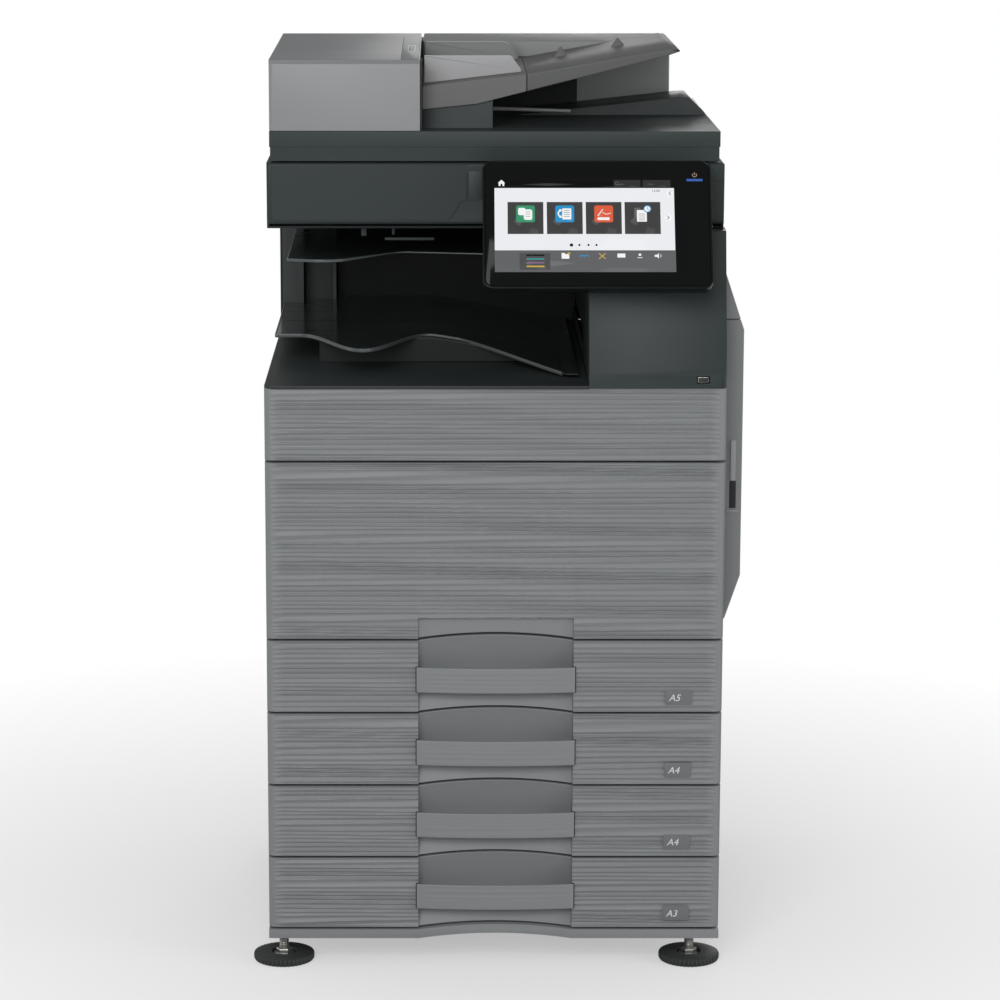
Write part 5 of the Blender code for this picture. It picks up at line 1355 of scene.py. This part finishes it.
def on_glass(name, layer, tint, *loops):
    """Flat signs on the glass, each outline made a closed prism one layer thick.

    An outline is in millimetres, across from the edge line and up from the tilt axis; it is
    turned by the panel's lean about that axis.
    """
    points, faces, count = [], [], 0
    for loop in loops:
        number = len(loop)
        for rise in (0.02 + LAYER * layer, 0.02 + LAYER * (layer + 1)):
            out = -GLASS_OUT - (rise - 0.04) / 1000
            up = loop[:, 1] / 1000
            points.append(np.column_stack([
                PANEL_X + (EDGE + loop[:, 0]) / 1000,
                TILT_AT[1] + math.cos(LEAN) * out + math.sin(LEAN) * up,
                TILT_AT[2] - math.sin(LEAN) * out + math.cos(LEAN) * up]))
        back = count + np.arange(number)
        front = back + number
        faces += [front.tolist(), back[::-1].tolist()]
        faces += np.stack([back, np.roll(back, -1), np.roll(front, -1), front], axis=-1).tolist()
        count += 2 * number
    return solid(name, np.concatenate(points), faces, "panel", "gloss_black", LIT[tint], 0)


on_glass("screen_header", 0, "black", patch(0.5, 227.6, 28.2, 41.5))
on_glass("screen_page", 1, "white", patch(1.0, 227.0, -56.3, 28.5, 0.2))
on_glass("screen_bar", 1, "bar_grey", patch(1.0, 227.6, -85.6, -56.9, 0.2))
roof = np.array([(5.2, 35.3), (14.6, 35.3), (9.9, 39.8)])
house = np.array([(6.4, 31.4), (8.7, 31.4), (8.7, 34.4), (11.1, 34.4), (11.1, 31.4), (13.4, 31.4),
                  (13.4, 35.3), (6.4, 35.3)])
on_glass("home_sign", 1, "paper", roof, house)
on_glass("screen_keys", 1, "key_grey", patch(151.1, 185.0, 29.9, 39.5, 0.8),
         patch(187.7, 222.7, 29.9, 39.5, 0.8))
on_glass("search_sign", 2, "bar_grey", arc(155.2, 35.0, 2.0, 0, 330, 0.7),
         stroke((156.5, 33.6), (158.4, 31.8), 0.8))
on_glass("page_arrow_seats", 2, "paper", disc(219.4, -11.6, 4.6), disc(221.6, 20.6, 3.9))
arrows = [stroke((x - 1.4 * side, z + 2.6 * up), (x + 1.4 * side, z), 0.8)
          for x, z, side in ((219.0, -11.8, 1.0), (221.8, 21.2, -1.0)) for up in (1.0, -1.0)]
on_glass("page_arrows", 3, "tile_grey", *arrows)

COPY_X, CALL_X, SCAN_X, RECENT_X = TILES_X = (17.3, 66.6, 115.6, 164.4)
on_glass("screen_tiles", 2, "tile_grey",
         *(patch(x, x + 45.0, -34.2, 9.4, 0.3) for x in TILES_X))
for name, x, tint in (("copy", COPY_X, "green"), ("call", CALL_X, "blue"), ("scan", SCAN_X, "red")):
    on_glass(f"{name}_key_face", 3, tint, patch(x + 10.7, x + 34.3, -18.2, 4.6, 2.6))
x = COPY_X
on_glass("copy_pages", 4, "paper", patch(x + 13.3, x + 22.6, -8.6, 1.4, 2.2))
on_glass("copy_pages_front", 5, "paper", patch(x + 20.4, x + 31.0, -15.0, -0.8, 2.4))
x = CALL_X
on_glass("call_page", 4, "paper", patch(x + 19.4, x + 30.8, -14.4, 0.6, 0.9))
on_glass("call_handset", 4, "paper", arc(x + 19.0, -6.4, 4.6, 115, 245, 1.8),
         patch(x + 15.6, x + 18.6, -3.6, -0.6, 0.8), patch(x + 15.6, x + 18.6, -12.2, -9.2, 0.8))
on_glass("page_rows", 6, "bar_grey", *lines(x + 21.4, x + 28.8, (-2.2, -5.0, -7.8, -10.6)),
         *lines(COPY_X + 22.6, COPY_X + 28.6, (-4.2, -7.2, -10.2), 0.6))
x = SCAN_X
on_glass("scan_sign", 4, "paper", patch(x + 14.6, x + 29.8, -15.2, -11.6, 0.9),
         stroke((x + 15.0, -9.6), (x + 21.4, -0.6), 1.1),
         stroke((x + 20.4, -4.6), (x + 25.4, -7.4), 0.8),
         stroke((x + 25.4, -7.4), (x + 31.4, -5.8), 0.8))
x = RECENT_X
on_glass("recent_page_behind", 3, "bar_grey", patch(x + 12.0, x + 20.0, -12.6, 1.6, 0.4))
on_glass("recent_page", 4, "paper", patch(x + 15.4, x + 27.8, -17.4, -1.6, 0.5))
on_glass("recent_clock", 5, "blue", disc(x + 28.6, 0.0, 4.9))
on_glass("recent_clock_face", 6, "paper", disc(x + 28.6, 0.0, 3.7))
on_glass("recent_hands", 7, "bar_grey", stroke((x + 28.6, -0.2), (x + 28.6, 2.6), 0.7),
         stroke((x + 28.4, 0.0), (x + 30.6, -1.4), 0.7),
         *lines(x + 17.6, x + 25.6, (-7.0, -9.8, -12.6, -15.2)))
on_glass("page_dots", 2, "black", disc(97.1, -49.1, 2.2),
         *(disc(x, -49.1, 1.4) for x in (107.1, 118.4, 128.4)))

on_glass("toner_box", 2, "box_grey", patch(31.9, 70.4, -82.8, -59.9, 0.8))
for row, tint in enumerate(("black", "teal", "mauve", "yellow")):
    z = -63.0 - 5.0 * row
    on_glass(f"toner_level_{tint}", 3, tint, patch(40.6, 63.1, z - 1.0, z + 1.0, 0.2))
horn = np.array([(203.2, -64.6), (206.4, -67.2), (206.4, -60.2), (203.2, -62.8)])
on_glass("folder_sign", 2, "paper", patch(84.6, 94.2, -67.6, -61.4, 0.6),
         patch(84.6, 88.8, -62.0, -59.8, 0.4), patch(154.4, 164.4, -66.0, -60.6, 0.6),
         disc(182.6, -62.2, 1.7), patch(179.4, 185.8, -66.6, -65.8, 0.2),
         patch(201.0, 203.4, -65.0, -62.4, 0.3), horn, arc(206.4, -63.7, 2.6, -45, 45, 0.7))
on_glass("folder_mark", 3, "yellow", disc(93.6, -60.6, 1.8))
on_glass("blue_sign", 2, "blue", *(arc(x, -66.2, 3.2, 20, 160, 1.3) for x in (110.2, 115.8)))
on_glass("tool_sign", 2, "yellow", stroke((131.4, -60.2), (139.6, -67.8), 1.1),
         stroke((139.6, -60.2), (131.4, -67.8), 1.1))
on_glass("power_sign", 0, "amber", arc(253.4, 46.4, 2.6, 130, 410, 0.8),
         stroke((253.4, 46.4), (253.4, 50.0), 0.8))
on_glass("power_lamp_bar", 0, "lamp_blue", patch(243.1, 263.3, 37.9, 41.1, 0.3))

# The clock's figures are laid on the glass and turned with the panel's lean.
figures = words_mesh("clock_figures", "12:00", 4.6, 0.06)
lay = (Matrix.Translation(((EDGE + 199.0) / 1000, -GLASS_OUT - 0.00013, 0.0232))
       @ Matrix.Rotation(math.pi / 2, 4, "X") @ Matrix.Scale(0.001, 4))
figures.transform(Matrix.Translation((PANEL_X, TILT_AT[1], TILT_AT[2]))
                  @ Matrix.Rotation(-LEAN, 4, "X") @ lay)
place("clock_figures", figures, "panel", "gloss_black", LIT["tile_grey"], smooth=0)
